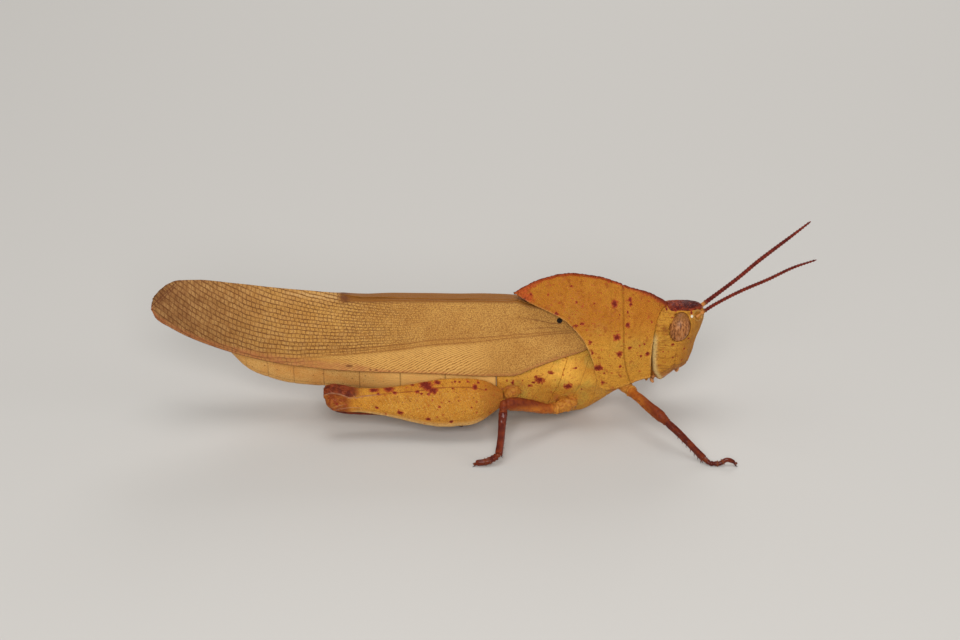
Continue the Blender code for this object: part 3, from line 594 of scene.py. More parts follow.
# Where each hip comes out of the thorax, its middle, and where the thigh leaves it.
HIP_PATHS = {
    "fore": ((13.5, 1.7, 4.9), (14.2, 2.45, 4.35), (14.85, 3.2, 4.08), (15.25, 3.9, 4.05)),
    "mid": ((9.3, 2.3, 3.0), (8.55, 2.85, 2.42), (7.5, 3.65, 2.3), (6.85, 4.25, 2.52)),
    "hind": ((3.4, 2.6, 4.4), (3.1, 3.05, 3.8), (2.75, 3.5, 3.75), (2.4, 3.95, 3.8)),
}
HIP_RADII = {
    "fore": (0.8, 0.7, 0.55, 0.42),
    "mid": (0.95, 0.84, 0.58, 0.42),
    "hind": (0.75, 0.68, 0.56, 0.46),
}
for name, side in SIDES.items():
    for leg, path in HIP_PATHS.items():
        radii = HIP_RADII[leg]
        rings, share, _, _ = limb(sided(side, path), radii, radii, 90, 60, (0.3, 0.12))
        folds = 0.05 * bell(share - 0.70, 0.05) + 0.04 * bell(share - 0.88, 0.04)
        folds -= 0.09 * bell(share - 0.80, 0.035)
        hip = lift(rings, folds[:, None] + 0.07 * ripple(rings, 0.55, 3) + 0.03 * ripple(rings, 0.22, 4))
        piece = tube(f"hip_{leg}_{name}", hip, along=0.03, upward=0.0, membrane=0.0)
        dress(piece, "leg", leg_skin.material, f"coxa_{leg}_{name}")


# -------------------------------------------------------------------------------- walking thighs
# The thighs of the fore and middle legs: slightly flattened rods with eight fine furrows, orange
# where they leave the hip and dark red toward the knee, a short dark folded joint before the shin.

THIGHS = {
    "fore_right": (
        (14.75, 3.25, 4.1), (15.5, 4.6, 4.1), (16.6, 6, 3.75), (17.6, 7, 3.35), (18.25, 7.57, 3.0),
    ),
    "fore_left": (
        (14.6, 3.2, 4.1), (15.1, 5, 4.45), (15.6, 6.5, 5.05), (16.1, 7.6, 5.5), (16.3, 8.05, 5.55),
    ),
    "mid": ((7.3, 3.85, 2.38), (6.5, 4.55, 2.7), (4.8, 5.55, 3.6), (3.1, 6.6, 4.4), (2.2, 7.1, 4.62)),
}
THIGH_RADII = {
    "fore": np.array((0.40, 0.45, 0.50, 0.55, 0.46)),
    "mid": np.array((0.38, 0.47, 0.57, 0.62, 0.55)),
}
KNEE_RADII = (0.40, 0.42, 0.41, 0.30)
SHINS = {
    "fore_right": ((18.3, 7.62, 2.95), (19.6, 8.6, 2.1), (21.0, 9.8, 1.1), (21.95, 10.6, 0.42)),
    "fore_left": ((16.42, 8.3, 5.2), (16.8, 8.95, 3.6), (17.2, 9.6, 1.9), (17.5, 10.05, 0.55)),
    "mid": ((2.12, 7.55, 4.0), (2.05, 8.05, 3.4), (1.9, 9.4, 2.0), (1.68, 10.5, 0.85)),
}


def own_shape(table, leg, name):
    """The shape of this leg on this side, where the two differ, or else the one that both share."""
    return sided(SIDES[name], table.get(f"{leg}_{name}", table.get(leg)))


for name in SIDES:
    for leg in ("fore", "mid"):
        path = own_shape(THIGHS, leg, name)
        radii = THIGH_RADII[leg]
        rings, share, turn, _ = limb(path, radii, radii * 1.1, 130, 40, (0.04, 0.06))
        furrows = 0.035 * (np.cos(turn * 4) ** 8)[None] * ease(share, 0.1, 0.2)[:, None]
        folds = 0.05 * bell(share - 0.05, 0.03) + 0.05 * bell(share - 0.93, 0.03)
        folds -= 0.07 * bell(share - 0.10, 0.018)
        thigh = lift(rings, furrows + folds[:, None] + 0.012 * ripple(rings, 0.6))
        along = np.clip(share + 0.02, 0, 1)[:, None]
        upward = np.sin(turn)[None] * (1 if leg == "mid" else 0.5)
        parts = [tube("thigh", thigh, along=along, upward=upward, membrane=0.0)]
        shin = own_shape(SHINS, leg, name)
        knee = [path[-1] * 0.65 + path[-2] * 0.35, path[-1], shin[0], shin[0] * 0.8 + shin[1] * 0.2]
        rings, share, _, _ = limb(knee, KNEE_RADII, KNEE_RADII, 40, 24, (0.02, 0.02))
        folds = 0.03 * np.sin(share * 6 * math.pi)[:, None]
        parts.append(tube("knee", lift(rings, folds), membrane=0.0, along=1.0, upward=1.0))
        dress(join(f"thigh_{leg}_{name}", parts), "leg", leg_skin.material, f"femur_{leg}_{name}")


# ---------------------------------------------------------------------------------- shins and feet
# A shin is a four-sided rod with two rows of spines. Each foot has three joints with low rings
# between them, a rippled first joint, a soft cushion at the end, and two curved claws.


def thorns(name, feet, tips, radius, sides=7):
    """Curved spines from each foot to each tip: six rings that narrow to a point and bend a little."""
    feet, tips = np.array(feet, float), np.array(tips, float)
    ways = tips - feet
    across = unit(np.cross(ways, [0.3, 0.2, 1.0]))
    other = unit(np.cross(ways, across))
    steps = np.linspace(0, 1, 6)
    turn = np.linspace(0, 2 * math.pi, sides, endpoint=False)
    size = np.broadcast_to(radius, len(feet))[:, None] * (1 - steps**1.6 * 0.93)
    bend = 0.12 * np.linalg.norm(ways, axis=1)[:, None] * np.sin(steps * math.pi)
    centre = feet[:, None] + ways[:, None] * steps[None, :, None] + bend[..., None] * other[:, None]
    around = np.cos(turn)[:, None] * across[:, None, None] + np.sin(turn)[:, None] * other[:, None, None]
    rings = centre[:, :, None] + size[:, :, None, None] * around
    index = np.arange(rings[..., 0].size).reshape(rings.shape[:3])
    after = np.roll(index, -1, axis=2)
    quads = np.stack([index[:, :-1], after[:, :-1], after[:, 1:], index[:, 1:]], axis=-1).reshape(-1, 4)
    faces = quads.tolist() + index[:, 0, ::-1].tolist() + index[:, -1].tolist()
    mesh = bpy.data.meshes.new(name)
    mesh.from_pydata((rings.reshape(-1, 3) * MM).tolist(), [], faces)
    share = np.broadcast_to(steps[None, :, None], rings.shape[:3]).ravel()
    mesh.attributes.new("tipward", "FLOAT", "POINT").data.foreach_set("value", share.astype(np.float32))
    shape = bmesh.new()
    shape.from_mesh(mesh)
    bmesh.ops.recalc_face_normals(shape, faces=shape.faces)
    shape.to_mesh(mesh)
    shape.free()
    mesh.shade_smooth()
    thing = bpy.data.objects.new(name, mesh)
    bpy.context.scene.collection.objects.link(thing)
    return thing


shin_skin = Finish("shin_horn", 0.35, Specular_IOR_Level=0.06, Coat_Weight=0.26, Coat_Roughness=0.12)
shin_red = shin_skin.mottled((0.085, 0.010, 0.005), (0.18, 0.027, 0.007), 0.7)
clouds = shin_skin.ramp(shin_skin.noise(0.18, 2), 0.3, 0.5, 0.5, 0)
shin_red = shin_skin.blend(clouds, shin_red, (0.07, 0.012, 0.006))
dark_tips = shin_skin.ramp(shin_skin.field("tipward"), 0.35, 0.8)
shin_red = shin_skin.blend(dark_tips, shin_red, (0.02, 0.008, 0.006))
shin_skin.colour(shin_skin.blend(shin_skin.field("membrane"), shin_red, (0.20, 0.055, 0.02)))
shin_skin.bump(shin_skin.noise(0.12, 2), 0.015)

HIND_SHIN = (
    (-15.25, 5.05, 3.95), (-14.6, 4.9, 3.1), (-13, 4.7, 2.6), (-10, 4.6, 2.4), (-6, 4.55, 1.7),
    (-2.4, 4.4, 1.35),
)
SHIN_RADII = {
    "fore": np.array((0.36, 0.33, 0.30, 0.32)),
    "mid": np.array((0.46, 0.43, 0.38, 0.40)),
    "hind": np.array((0.44, 0.42, 0.38, 0.36, 0.32, 0.36)),
}
SHIN_RINGS = 170
FOOT_SIZES = {"fore": 0.95, "mid": 1.35, "hind": 1.0}
FOOT_RADIUS, FOOT_RADII = 0.24, np.array((0.24, 0.26, 0.24, 0.21, 0.19))
# The height of a foot's middle where it lies flat on the floor.
FLAT = 0.24
FEET = {
    "fore_right": (
        (22.1, 10.85, 0.4), (22.6, 11.15, FLAT), (23.3, 11.2, FLAT), (24.2, 11.1, 0.62),
        (24.95, 11.15, 0.36),
    ),
    "fore_left": (
        (17.75, 10.15, 0.4), (18.2, 10.45, FLAT), (18.9, 10.75, FLAT), (19.6, 11, 0.6), (20.25, 11.2, 0.36),
    ),
    "mid": (
        (1.55, 10.75, 0.85), (1.15, 10.9, 0.66), (0.5, 11.1, 0.42), (-0.1, 11.2, 0.36), (-0.62, 11.2, 0.3),
    ),
    "hind": (
        (-2.3, 3.95, 0.7), (-2.05, 3.45, 0.3), (-1.5, 2.95, FLAT), (-0.8, 2.4, FLAT), (-0.1, 1.9, FLAT),
    ),
}

for name, side in SIDES.items():
    for leg in ("fore", "mid", "hind"):
        hind = leg == "hind"
        path = sided(side, HIND_SHIN) if hind else own_shape(SHINS, leg, name)
        radii = SHIN_RADII[leg]
        rings, share, turn, (centre, ways, flat, up) = limb(path, radii, radii, SHIN_RINGS, 32, (0.04, 0.03))
        square = 0.03 * np.cos(turn * 4)[None] * ease(share, 0.05, 0.12)[:, None]
        square = square + 0.008 * ripple(rings, 0.5, 5)
        bare = tube("shin", lift(rings, square), tipward=0.0, membrane=0.0)
        # Small spines point down and toward the foot. The hind shin's stand up in two longer rows.
        count, length = (9, 0.55) if hind else (7, 0.30)
        at = np.linspace(0.30 if hind else 0.34, 0.93, count)
        at = (at[:, None] + np.array((0.0, 0.03))[None]).ravel()
        lean = np.tile((1.0, -1.0), count)[:, None]
        i = (at * (SHIN_RINGS - 1)).astype(int)
        reach = np.interp(at, np.linspace(0, 1, len(radii)), radii)[:, None]
        upright = up[i] * (1 if hind else -1)
        way = unit(upright * 0.75 + flat[i] * lean * 0.62)
        foot = centre[i] + way * reach * 0.8
        tip = foot + unit(way + ways[i] * 0.85) * (length + 0.12 * at[:, None])
        spines = thorns("spines", foot, tip, 0.075 if hind else 0.05)
        # Two pairs of spurs at the end of the shin, beside the foot.
        end, lean = np.full(4, SHIN_RINGS - 4), np.array((1.0, -1.0, 1.0, -1.0))[:, None]
        lower = np.array((0.6, 0.6, -0.5, -0.5))[:, None]
        way = unit(flat[end] * lean - up[end] * lower)
        foot = centre[end] + way * radii[-1] * 0.75
        tip = foot + unit(way * 0.5 + ways[end]) * (0.55 if hind else 0.34)
        tip[:, 2] = np.maximum(tip[:, 2], 0.06)
        spurs = thorns("spurs", foot, tip, 0.075 if hind else 0.055)
        whole = join(f"shin_{leg}_{name}", [bare, spines, spurs])
        dress(whole, "shin", shin_skin.material, f"tibia_{leg}_{name}")

        shin_end = path[-1]
        path, size = own_shape(FEET, leg, name), FOOT_SIZES[leg]
        rings, share, _, (centre, ways, flat, _) = limb(
            path, size * FOOT_RADII, size * FOOT_RADIUS, 150, 32, (0.06, 0.07)
        )
        low_rings = -0.11 * bell(share - 0.40, 0.016) - 0.11 * bell(share - 0.58, 0.016)
        ripples = 0.03 * np.cos(share * 2 * math.pi * 7) * (share < 0.4) + 0.03 * bell(share - 0.94, 0.05)
        rings = lift(rings, (low_rings + ripples)[:, None])
        rings[..., 2] = np.maximum(rings[..., 2], 0.0)
        soft = bell(share - 0.40, 0.022) + bell(share - 0.58, 0.022)
        foot_parts = [tube("foot", rings, tipward=0.0, membrane=soft[:, None])]
        ankle_path = [shin_end, (shin_end + path[0]) / 2, path[0] + (path[1] - path[0]) * 0.3]
        ankle, _, _, _ = limb(ankle_path, FOOT_RADIUS, FOOT_RADIUS, 30, 20)
        foot_parts.append(tube("ankle", ankle, tipward=0.0, membrane=0.35))
        ahead, side_way = ways[-1] * (1, 1, 0), flat[-1]
        root = centre[-1] - ahead * 0.12 + np.array((0, 0, 0.04))
        roots = np.array([root + side_way * 0.1, root - side_way * 0.1])
        tips = np.array([root + side_way * 0.34 + ahead * 0.42, root - side_way * 0.34 + ahead * 0.42])
        tips[:, 2] = 0.04
        foot_parts.append(thorns("claws", roots, tips, 0.085))
        cushion = ball(root + ahead * 0.2 - np.array((0, 0, 0.13)), (0.16, 0.16, 0.12), rings=20, sides=20)
        cushion[..., 2] = np.maximum(cushion[..., 2], 0.0)
        foot_parts.append(tube("cushion", cushion, tipward=0.0, membrane=0.5))
        dress(join(f"foot_{leg}_{name}", foot_parts), "shin", shin_skin.material, f"tarsus_{leg}_{name}")


# ---------------------------------------------------------------------------------- jumping thighs
# The hind thigh is a flattened club. Its outer face is a herringbone of low welts between two long
# dark lines, and at the knee two horny lobes take the shin between them.

HIND_THIGH_MIDDLE_Z = (
    (-15.7, 4.75), (-15.1, 4.45), (-13, 4.12), (-9, 3.82), (-6, 3.68), (-2, 3.82), (1.2, 4.02), (2.2, 3.97),
)
HIND_THIGH_DEPTH = (
    (-15.7, 1.1), (-15.4, 2.0), (-14.6, 2.7), (-13.5, 2.6), (-12, 2.45), (-10, 2.75), (-8, 3.4), (-6, 4.2),
    (-3.6, 4.85), (-1.6, 4.75), (0, 4.1), (1.2, 2.7), (1.8, 1.9), (2.2, 1.1),
)
HIND_THIGH_THICKNESS = (
    (-15.7, 0.9), (-15, 1.5), (-12, 1.35), (-8, 1.7), (-4, 2.2), (-1, 2.1), (1, 1.5), (2.2, 0.9),
)
HIND_THIGH_Y = ((-15.7, 5.1), (-1, 5.1), (2.2, 4.55))
HIND_THIGH_LEAN = math.radians(19)
HIND_THIGH_SECTION = (
    (0.0, 1.0), (0.55, 0.78), (0.95, 0.55), (1.0, 0.0), (0.95, -0.5), (0.7, -0.8), (0.4, -1.0),
    (-0.1, -0.86), (-0.55, -0.6), (-0.95, -0.35), (-1.0, 0.1), (-0.85, 0.55), (-0.45, 0.85), (0.0, 1.0),
)
# Marks are placed by x and by height up a slope that leans back by LOOK_DOWN, as they meet the eye
# of a watcher: the seam between the knee's lobes, the upper keel, the lower lobe's crease, and spots.
LOOK_DOWN = math.radians(28)
KNEE_SEAM = (
    (-15.72, 1.62), (-14.9, 1.83), (-14.3, 1.78), (-13.6, 1.55), (-13.1, 1.36), (-12.4, 1.36), (2.2, 1.36),
)
UPPER_KEEL = (
    (-15.72, 1.9), (-13.0, 1.85), (-12.47, 1.36), (-11.97, 1.49), (-11.07, 1.61), (-10.17, 1.70),
    (-8.0, 1.93), (-6.5, 2.06), (-4.2, 2.38), (-2.5, 2.44), (-0.9, 2.44), (-0.3, 2.3), (2.2, 1.4),
)
KNEE_FOOT = ((-15.72, -0.3), (-15.1, -0.03), (-14.0, 0.27), (-12.85, 0.40), (-11.9, 0.34), (2.2, 0.3))
HIND_THIGH_SPOTS = (
    (-5.6, 2.70, 0.33, 1.6), (-4.85, 2.12, 0.27, 1.4), (-4.4, 2.9, 0.17, 1.5), (-6.4, 2.0, 0.15, 1.1),
    (-5.35, 2.4, 0.24, 1.5), (-5.95, 1.78, 0.09, 1.6), (-5.3, 1.74, 0.09, 1.4), (-0.67, 2.44, 0.21, 0.9),
    (-0.35, 2.87, 0.10, 1.2), (0.41, 2.2, 0.09, 1.0), (-2.2, 2.95, 0.08, 1.2), (-2.65, 2.98, 0.08, 1.2),
    (-1.4, 3.0, 0.08, 1.2), (-2.9, 2.3, 0.07, 1.2), (-10.75, 2.15, 0.17, 2.2), (-9.2, 2.22, 0.21, 2.0),
    (-8.65, 1.87, 0.14, 1.2), (-10.3, 1.74, 0.10, 1.3), (-8.07, -0.11, 0.15, 1.6), (-5.33, -0.77, 0.11, 1.8),
    (-3.03, -1.0, 0.09, 1.8), (-10.43, 0.4, 0.10, 1.6), (-4.18, 0.46, 0.09, 1.3), (-2.3, 1.04, 0.06, 1.0),
    (-1.0, 0.4, 0.06, 1.0), (-14.4, 0.78, 0.10, 1.0), (-3.2, 1.04, 0.06, 1.0), (-6.9, 2.65, 0.1, 1.6),
)


def up_slope(points):
    """Height up the slope: z times the cosine of LOOK_DOWN, less y times its sine."""
    return points[..., 2] * math.cos(LOOK_DOWN) - points[..., 1] * math.sin(LOOK_DOWN)


def jumping_thigh(x, sides=120):
    """Rings at x, in the section's outline, turned by its lean so that the foot stands out."""
    knots = np.arange(len(HIND_THIGH_SECTION))
    place = np.linspace(0, knots[-1], sides, endpoint=False)
    out_share, up_share = (
        smooth(np.stack([knots, column], axis=1), place) for column in np.array(HIND_THIGH_SECTION).T
    )
    out = out_share[None] * smooth(HIND_THIGH_THICKNESS, x)[:, None] / 2
    up = up_share[None] * smooth(HIND_THIGH_DEPTH, x)[:, None] / 2
    cosine, sine = math.cos(HIND_THIGH_LEAN), math.sin(HIND_THIGH_LEAN)
    y = smooth(HIND_THIGH_Y, x)[:, None] + out * cosine - up * sine
    z = smooth(HIND_THIGH_MIDDLE_Z, x)[:, None] + out * sine + up * cosine
    return np.stack([np.broadcast_to(x[:, None], y.shape), y, z], axis=-1), place


club, club_colour = cuticle(
    "jumping_thigh", (0.70, 0.282, 0.028), (0.76, 0.35, 0.044), (0.45, 0.15, 0.012), 0.115, 0.42
)
# Pale granules on the outer face: the granules' own paler colour and painted highlights on them.
granules = club.times(club.ramp(club.cells(0.27), 0.0, 0.3, 0.9, 0), club.field("face"))
club_colour = club.blend(granules, club_colour, (0.80, 0.48, 0.13))
welts = club.times(club.times(club.field("welts"), club.field("face")), 0.16)
club_colour = club.blend(welts, club_colour, (0.66, 0.36, 0.09))
club_dots = club.ramp(club.cells(0.55), 0.07, 0.17, 0.8, 0)
club_colour = club.blend(club_dots, club_colour, (0.26, 0.06, 0.01))
club_colour = club.blend(club.field("flame", 0.65), club_colour, (0.92, 0.29, 0.042))
keel_share = club.times(club.field("keel"), club.ramp(club.noise(0.5, 3), 0.3, 0.6, 0.6, 1.0))
club_colour = club.blend(keel_share, club_colour, (0.26, 0.05, 0.012))
club_colour = club.blend(club.field("pale", 0.8), club_colour, (0.68, 0.42, 0.15))
club_colour = club.blend(club.field("shaded", 0.6), club_colour, (0.34, 0.10, 0.015))
knee_low = club.mottled((0.26, 0.05, 0.01), (0.40, 0.12, 0.018), 0.6, 4, 0.38, 0.62)
knee_high = club.mottled((0.12, 0.018, 0.008), (0.24, 0.045, 0.012), 0.5, 4, 0.36, 0.62)
knee_colour = club.blend(club.field("upper"), knee_low, knee_high)
club_colour = club.blend(club.ramp(club.field("knee"), 0.0, 0.85), club_colour, knee_colour)
club_colour = spotted(club, club_colour)
# Pale seams at the knee, and a painted highlight along the upper keel near it.
crescent_share = club.times(club.field("crescent"), club.ramp(club.noise(0.4, 3), 0.3, 0.6, 0.35, 0.8))
club.colour(club.blend(crescent_share, club_colour, (0.58, 0.30, 0.17)))

share = np.linspace(0, 1, 330)
x = -15.72 + 17.82 * (share - np.sin(share * 2 * math.pi) / (2 * math.pi) * 0.75)
for name, side in SIDES.items():
    thigh, place = jumping_thigh(x)
    reach, outer = thigh[..., 0], (place < 6)[None]
    slant = thigh.copy()
    slant[..., 2] = up_slope(thigh)
    seam, above_keel, above_crease = (
        slant[..., 2] - smooth(line, x)[:, None] for line in (KNEE_SEAM, UPPER_KEEL, KNEE_FOOT)
    )
    up_face = (place - 2) / 2.75
    face = between(up_face, 0.02, 0.12, 0.88, 0.98)[None] * between(x, -12.2, -10.8, -0.2, 1.4)[:, None]
    chevrons = 0.5 + 0.5 * np.cos(2 * math.pi * (x[:, None] / 0.42 + np.abs(up_face - 0.47)[None] * 3.2))
    strength = between(x, -13.6, -12.0, -0.5, 1.3)[:, None]
    keels = bell(place - 4.8, 0.10)[None] * strength
    rims = (bell(place, 0.12) + bell(place - 13, 0.12) + 0.8 * bell(place - 6, 0.14))[None] * strength
    keel_line = bell(above_keel, 0.05) * between(reach, -12.9, -12.5, -0.2, 0.8) * outer
    # At the knee a pale seam parts the upper lobe from the lower one, and the upper keel next to the knee is
    # painted pale: a painted highlight along it.
    at_knee = ease(-reach, 12.9, 13.7)
    crescent = bell(seam, 0.05) * ease(-reach, 12.4, 13.2)
    crescent += 0.7 * bell(above_crease, 0.045) * ease(-reach, 11.6, 12.2)
    crescent += 0.5 * bell(above_crease - 0.34, 0.04) * ease(-reach, 13.2, 14.0)
    crescent = crescent * outer + keel_line * ease(-reach, 9.6, 11.0)
    relief = 0.03 * keels + 0.05 * keel_line + 0.05 * rims + 0.014 * (chevrons - 0.5) * face
    lobes = 0.07 * bell(seam + 0.45, 0.3) + 0.06 * bell(seam - 0.3, 0.2) - 0.09 * bell(seam, 0.08)
    relief += at_knee * lobes
    relief += 0.018 * ripple(thigh, 1.1, 8) + at_knee * 0.02 * ripple(thigh, 0.6, 9)
    # The relief is sunk here: the keels and rims are shallow grooves, and the seam is a low ridge.
    thigh = lift(thigh, -relief)
    piece = tube(
        "thigh_hind_" + name, sided(side, thigh),
        spots=spots_at(slant, HIND_THIGH_SPOTS, 1.75) * (place < 5.3)[None],
        welts=chevrons,
        face=face,
        keel=keel_line,
        flame=ease(-reach, 8.6, 10.6) * ease(above_keel, 0, 0.1) * outer,
        pale=bell(place - 5.6, 0.55)[None] * strength * (place < 6.5)[None],
        upper=ease(seam, -0.06, 0.06),
        shaded=ease(x, -0.9, 1.2)[:, None],
        knee=ease(-reach + 0.9 * ease(seam, -0.1, 0.3), 12.2, 14.3),
        crescent=crescent,
    )
    dress(piece, "jumping_thigh", club.material, "femur_hind_" + name)


# ---------------------------------------------------------------------------------------- pronotum
# The shield over the prothorax is one saddle of tough cuticle with a tall thin keel. Cross grooves
# run down its sides, and its free edges are folded into thin pale rims.

CREST = ((3.2, 13.4), (5.8, 14.88), (8.8, 15.56), (11.7, 15.16), (14.8, 13.98), (16.8, 13.34), (18.6, 12.22))
PRONOTUM_REAR = (
    (0, 3.2, 13.4), (0.1, 4.3, 13.03), (0.25, 6.8, 12.25), (0.34, 8.15, 11.65), (0.42, 8.95, 11.0),
    (0.56, 10.1, 9.7), (0.72, 11.0, 7.7), (0.88, 11.4, 5.9), (1, 11.8, 4.6),
)
PRONOTUM_FRONT = (
    (0, 18.6, 12.22), (0.12, 18.0, 12.0), (0.25, 17.5, 11.4), (0.45, 17.1, 9.9),
    (0.7, 16.9, 7.7), (1, 16.85, 5.3),
)
PRONOTUM_LOW = ((0, 11.8, 4.6), (0.14, 12.5, 4.2), (0.45, 14.1, 4.55), (0.75, 15.5, 5.02), (1, 16.85, 5.3))
PRONOTUM_HALF_WIDTH = ((3, 3.8), (9, 3.82), (12, 3.74), (14.5, 3.36), (16.7, 2.86), (18.6, 2.8))
PRONOTUM_SHOULDER_Z = 6.5


def pronotum_half(rows, columns):
    """One side of the shield: a patch stretched between its keel, its rear, front and lower edges.

    Its width at a height is the half-width there times (1 - rise to the power of roundness) to the
    power 1.15, where rise is the share of the way from the shoulder to the keel.
    """
    s = np.linspace(0, 1, columns)
    t = np.linspace(0, 1, rows) ** 1.15
    edge = {}
    edges = (("low", PRONOTUM_LOW, s), ("rear", PRONOTUM_REAR, t), ("front", PRONOTUM_FRONT, t))
    for label, knots, share in edges:
        knots = np.array(knots)
        edge[label] = np.stack([smooth(knots[:, [0, 1]], share), smooth(knots[:, [0, 2]], share)], axis=-1)
    crest_x = PRONOTUM_REAR[0][1] + (PRONOTUM_FRONT[0][1] - PRONOTUM_REAR[0][1]) * s
    crest, low = np.stack([crest_x, smooth(CREST, crest_x)], axis=-1)[None], edge["low"][None]
    rear, front = edge["rear"][:, None], edge["front"][:, None]
    s, t = s[None, :, None], t[:, None, None]
    corners = (1 - s) * ((1 - t) * rear[:1] + t * rear[-1:]) + s * ((1 - t) * front[:1] + t * front[-1:])
    xz = (1 - s) * rear + s * front + (1 - t) * crest + t * low - corners
    x, z = xz[..., 0], xz[..., 1]
    top = smooth(CREST, x)
    rise = np.clip(np.abs(z - PRONOTUM_SHOULDER_Z) / (top - PRONOTUM_SHOULDER_Z), 0, 1)
    roundness = 2.2 + 1.8 * ease(x, 12, 17)
    y = smooth(PRONOTUM_HALF_WIDTH, x) * (1 - rise**roundness) ** 1.15
    y[0] = 0
    return np.stack([x, y, z], axis=-1)


PRONOTUM_SPOTS = (
    (13.2, 12.9, 0.27, 1.0), (14.5, 11.1, 0.20, 1.0), (13.4, 10.0, 0.27, 1.1), (13.7, 8.3, 0.25, 1.0),
    (14.75, 13.1, 0.15, 1.1), (14.8, 12.75, 0.13, 1.0), (11.6, 6.9, 0.28, 1.4), (14.7, 8.9, 0.12, 1.3),
    (15.85, 7.8, 0.12, 1.0), (16.5, 8.0, 0.19, 0.9), (7.4, 12.2, 0.14, 1.3), (10.0, 11.3, 0.09, 3.0),
    (9.35, 11.15, 0.08, 3.0), (9.0, 11.05, 0.08, 1.6), (4.3, 13.05, 0.14, 1.6), (4.9, 13.6, 0.12, 1.2),
    (10.75, 9.55, 0.15, 1.2), (11.0, 8.5, 0.12, 1.0), (16.2, 9.1, 0.10, 1.0),
    (13.8, 6.9, 0.12, 1.0), (15.7, 9.0, 0.09, 1.0), (12.1, 5.2, 0.12, 2.0), (8.9, 14.5, 0.08, 1.2),
    (12.2, 6.3, 0.08, 1.2), (6.6, 13.7, 0.08, 1.4), (16.9, 11.2, 0.08, 1.0), (9.4, 13.2, 0.10, 1.0),
    (11.2, 13.0, 0.07, 1.0), (14.5, 12.2, 0.08, 1.0), (13.7, 12.0, 0.06, 1.0),
)
shield, shield_colour = cuticle(
    "shield", (0.56, 0.200, 0.018), (0.62, 0.245, 0.025), (0.42, 0.12, 0.010), 0.12
)
shield_colour = shield.blend(shield.field("low", 0.5), shield_colour, (0.76, 0.39, 0.05))
green = shield.times(shield.field("green"), shield.ramp(shield.noise(0.6, 4), 0.3, 0.6, 0.35, 1))
shield_colour = shield.blend(shield.times(green, 0.7), shield_colour, (0.50, 0.26, 0.040))
shield_colour = shield.blend(shield.field("furrow", 0.5), shield_colour, (0.22, 0.08, 0.01))
stains = shield.ramp(shield.noise(0.75, 2), 0.60, 0.70, 0, 0.55)
shield_colour = shield.blend(stains, shield_colour, (0.34, 0.075, 0.012))
blush = shield.plus(shield.field("blush"), shield.waver(0.3, 4, 1.2))
shield_colour = shield.blend(shield.ramp(blush, 0.25, 0.85, 0, 0.85), shield_colour, (0.50, 0.075, 0.018))
shield_colour = spotted(shield, shield_colour)
shield_colour = shield.blend(shield.field("crest", 0.85), shield_colour, (0.10, 0.012, 0.008))
rim_share = shield.times(shield.field("rim"), shield.ramp(shield.noise(0.5, 3), 0.3, 0.6, 0.35, 0.7))
shield.colour(shield.blend(rim_share, shield_colour, (0.66, 0.34, 0.11)))

# The three cross grooves, as height and x.
FIRST_GROOVE = ((4.2, 15.1), (5.6, 14.65), (6.6, 14.4), (8.75, 14.12), (10.7, 14.1), (13.9, 14.06))
SECOND_GROOVE = ((7.5, 12.6), (9.5, 12.75), (12.6, 12.9))
THIRD_GROOVE = ((6.5, 16.1), (9.0, 15.75), (12.5, 15.9))
# Green patches: x, z, how much narrower they are along x and along z, radius and strength.
GREEN_PATCHES = (
    (13.4, 9.2, 1, 1.2, 0.6, 0.9), (15.3, 9.2, 0.8, 1.3, 0.8, 0.8), (15.0, 6.9, 1, 1.3, 0.6, 0.7),
    (11.6, 10.7, 1, 1.2, 0.8, 0.6), (9.0, 12.2, 1, 1, 0.9, 0.4),
)
# How far the red blush reaches down from the keel, and how wide the dark crest is, both along x.
BLUSH_DEPTH = (
    (3.2, 1.5), (4.6, 1.3), (6, 0.7), (9, 0.45), (12, 0.42), (14.6, 0.5), (16.5, 0.9), (18.6, 1.0),
)
CREST_WIDTH = ((3.2, 0.09), (12, 0.07), (15, 0.12), (17, 0.3), (18.6, 0.5))
half = pronotum_half(rows=104, columns=150)
saddle = np.concatenate([half[::-1], half[1:] * (1, -1, 1)])
x, y, z = np.moveaxis(saddle, -1, 0)
edge_steps = np.linalg.norm(np.diff(saddle, axis=1), axis=-1)
from_rear = np.concatenate([np.zeros((len(saddle), 1)), np.cumsum(edge_steps, axis=1)], axis=1)
from_front = from_rear[:, -1:] - from_rear
side_steps = np.linalg.norm(np.diff(half, axis=0), axis=-1)
from_keel = np.concatenate([np.zeros((1, half.shape[1])), np.cumsum(side_steps, axis=0)])
from_low = from_keel[-1:] - from_keel
from_keel, from_low = (np.concatenate([part[::-1], part[1:]]) for part in (from_keel, from_low))
first_groove = x - smooth(FIRST_GROOVE, z)
second_groove = x - smooth(SECOND_GROOVE, z)
third_groove = x - smooth(THIRD_GROOVE, z)
grooves = bell(first_groove, 0.075) + 0.35 * bell(second_groove, 0.08) * ease(z, 7.5, 8.5)
grooves += 0.22 * bell(third_groove, 0.08) * between(z, 7.0, 8.0, 11.0, 12.2)
rear_rim = bell(from_rear - 0.05, 0.05) * (0.2 + 0.8 * ease(z, 6.5, 9.0))
front_rim = bell(from_front - 0.06, 0.07) * ease(-z, -10.0, -9.0) * ease(z, 6.0, 7.0)
rim = np.maximum.reduce([rear_rim, front_rim, 0.7 * bell(from_low - 0.06, 0.07)])
valley = bell(from_rear - 0.25, 0.10) + bell(from_low - 0.34, 0.14)
valley += bell(from_front - 0.36, 0.14) * ease(-z, -10.0, -9.0)
relief = 0.045 * rim - 0.035 * valley - 0.075 * grooves + 0.03 * bell(np.abs(first_groove) - 0.22, 0.13)
relief += 0.022 * ripple(saddle, 1.3) + 0.010 * ripple(saddle, 0.45, 2) + 0.05 * bell(from_keel, 0.12)
relief += 0.02 * np.sin(x * 11 + 2 * np.sin(x * 3.7)) * bell(from_keel, 0.1)
green = np.zeros(x.shape)
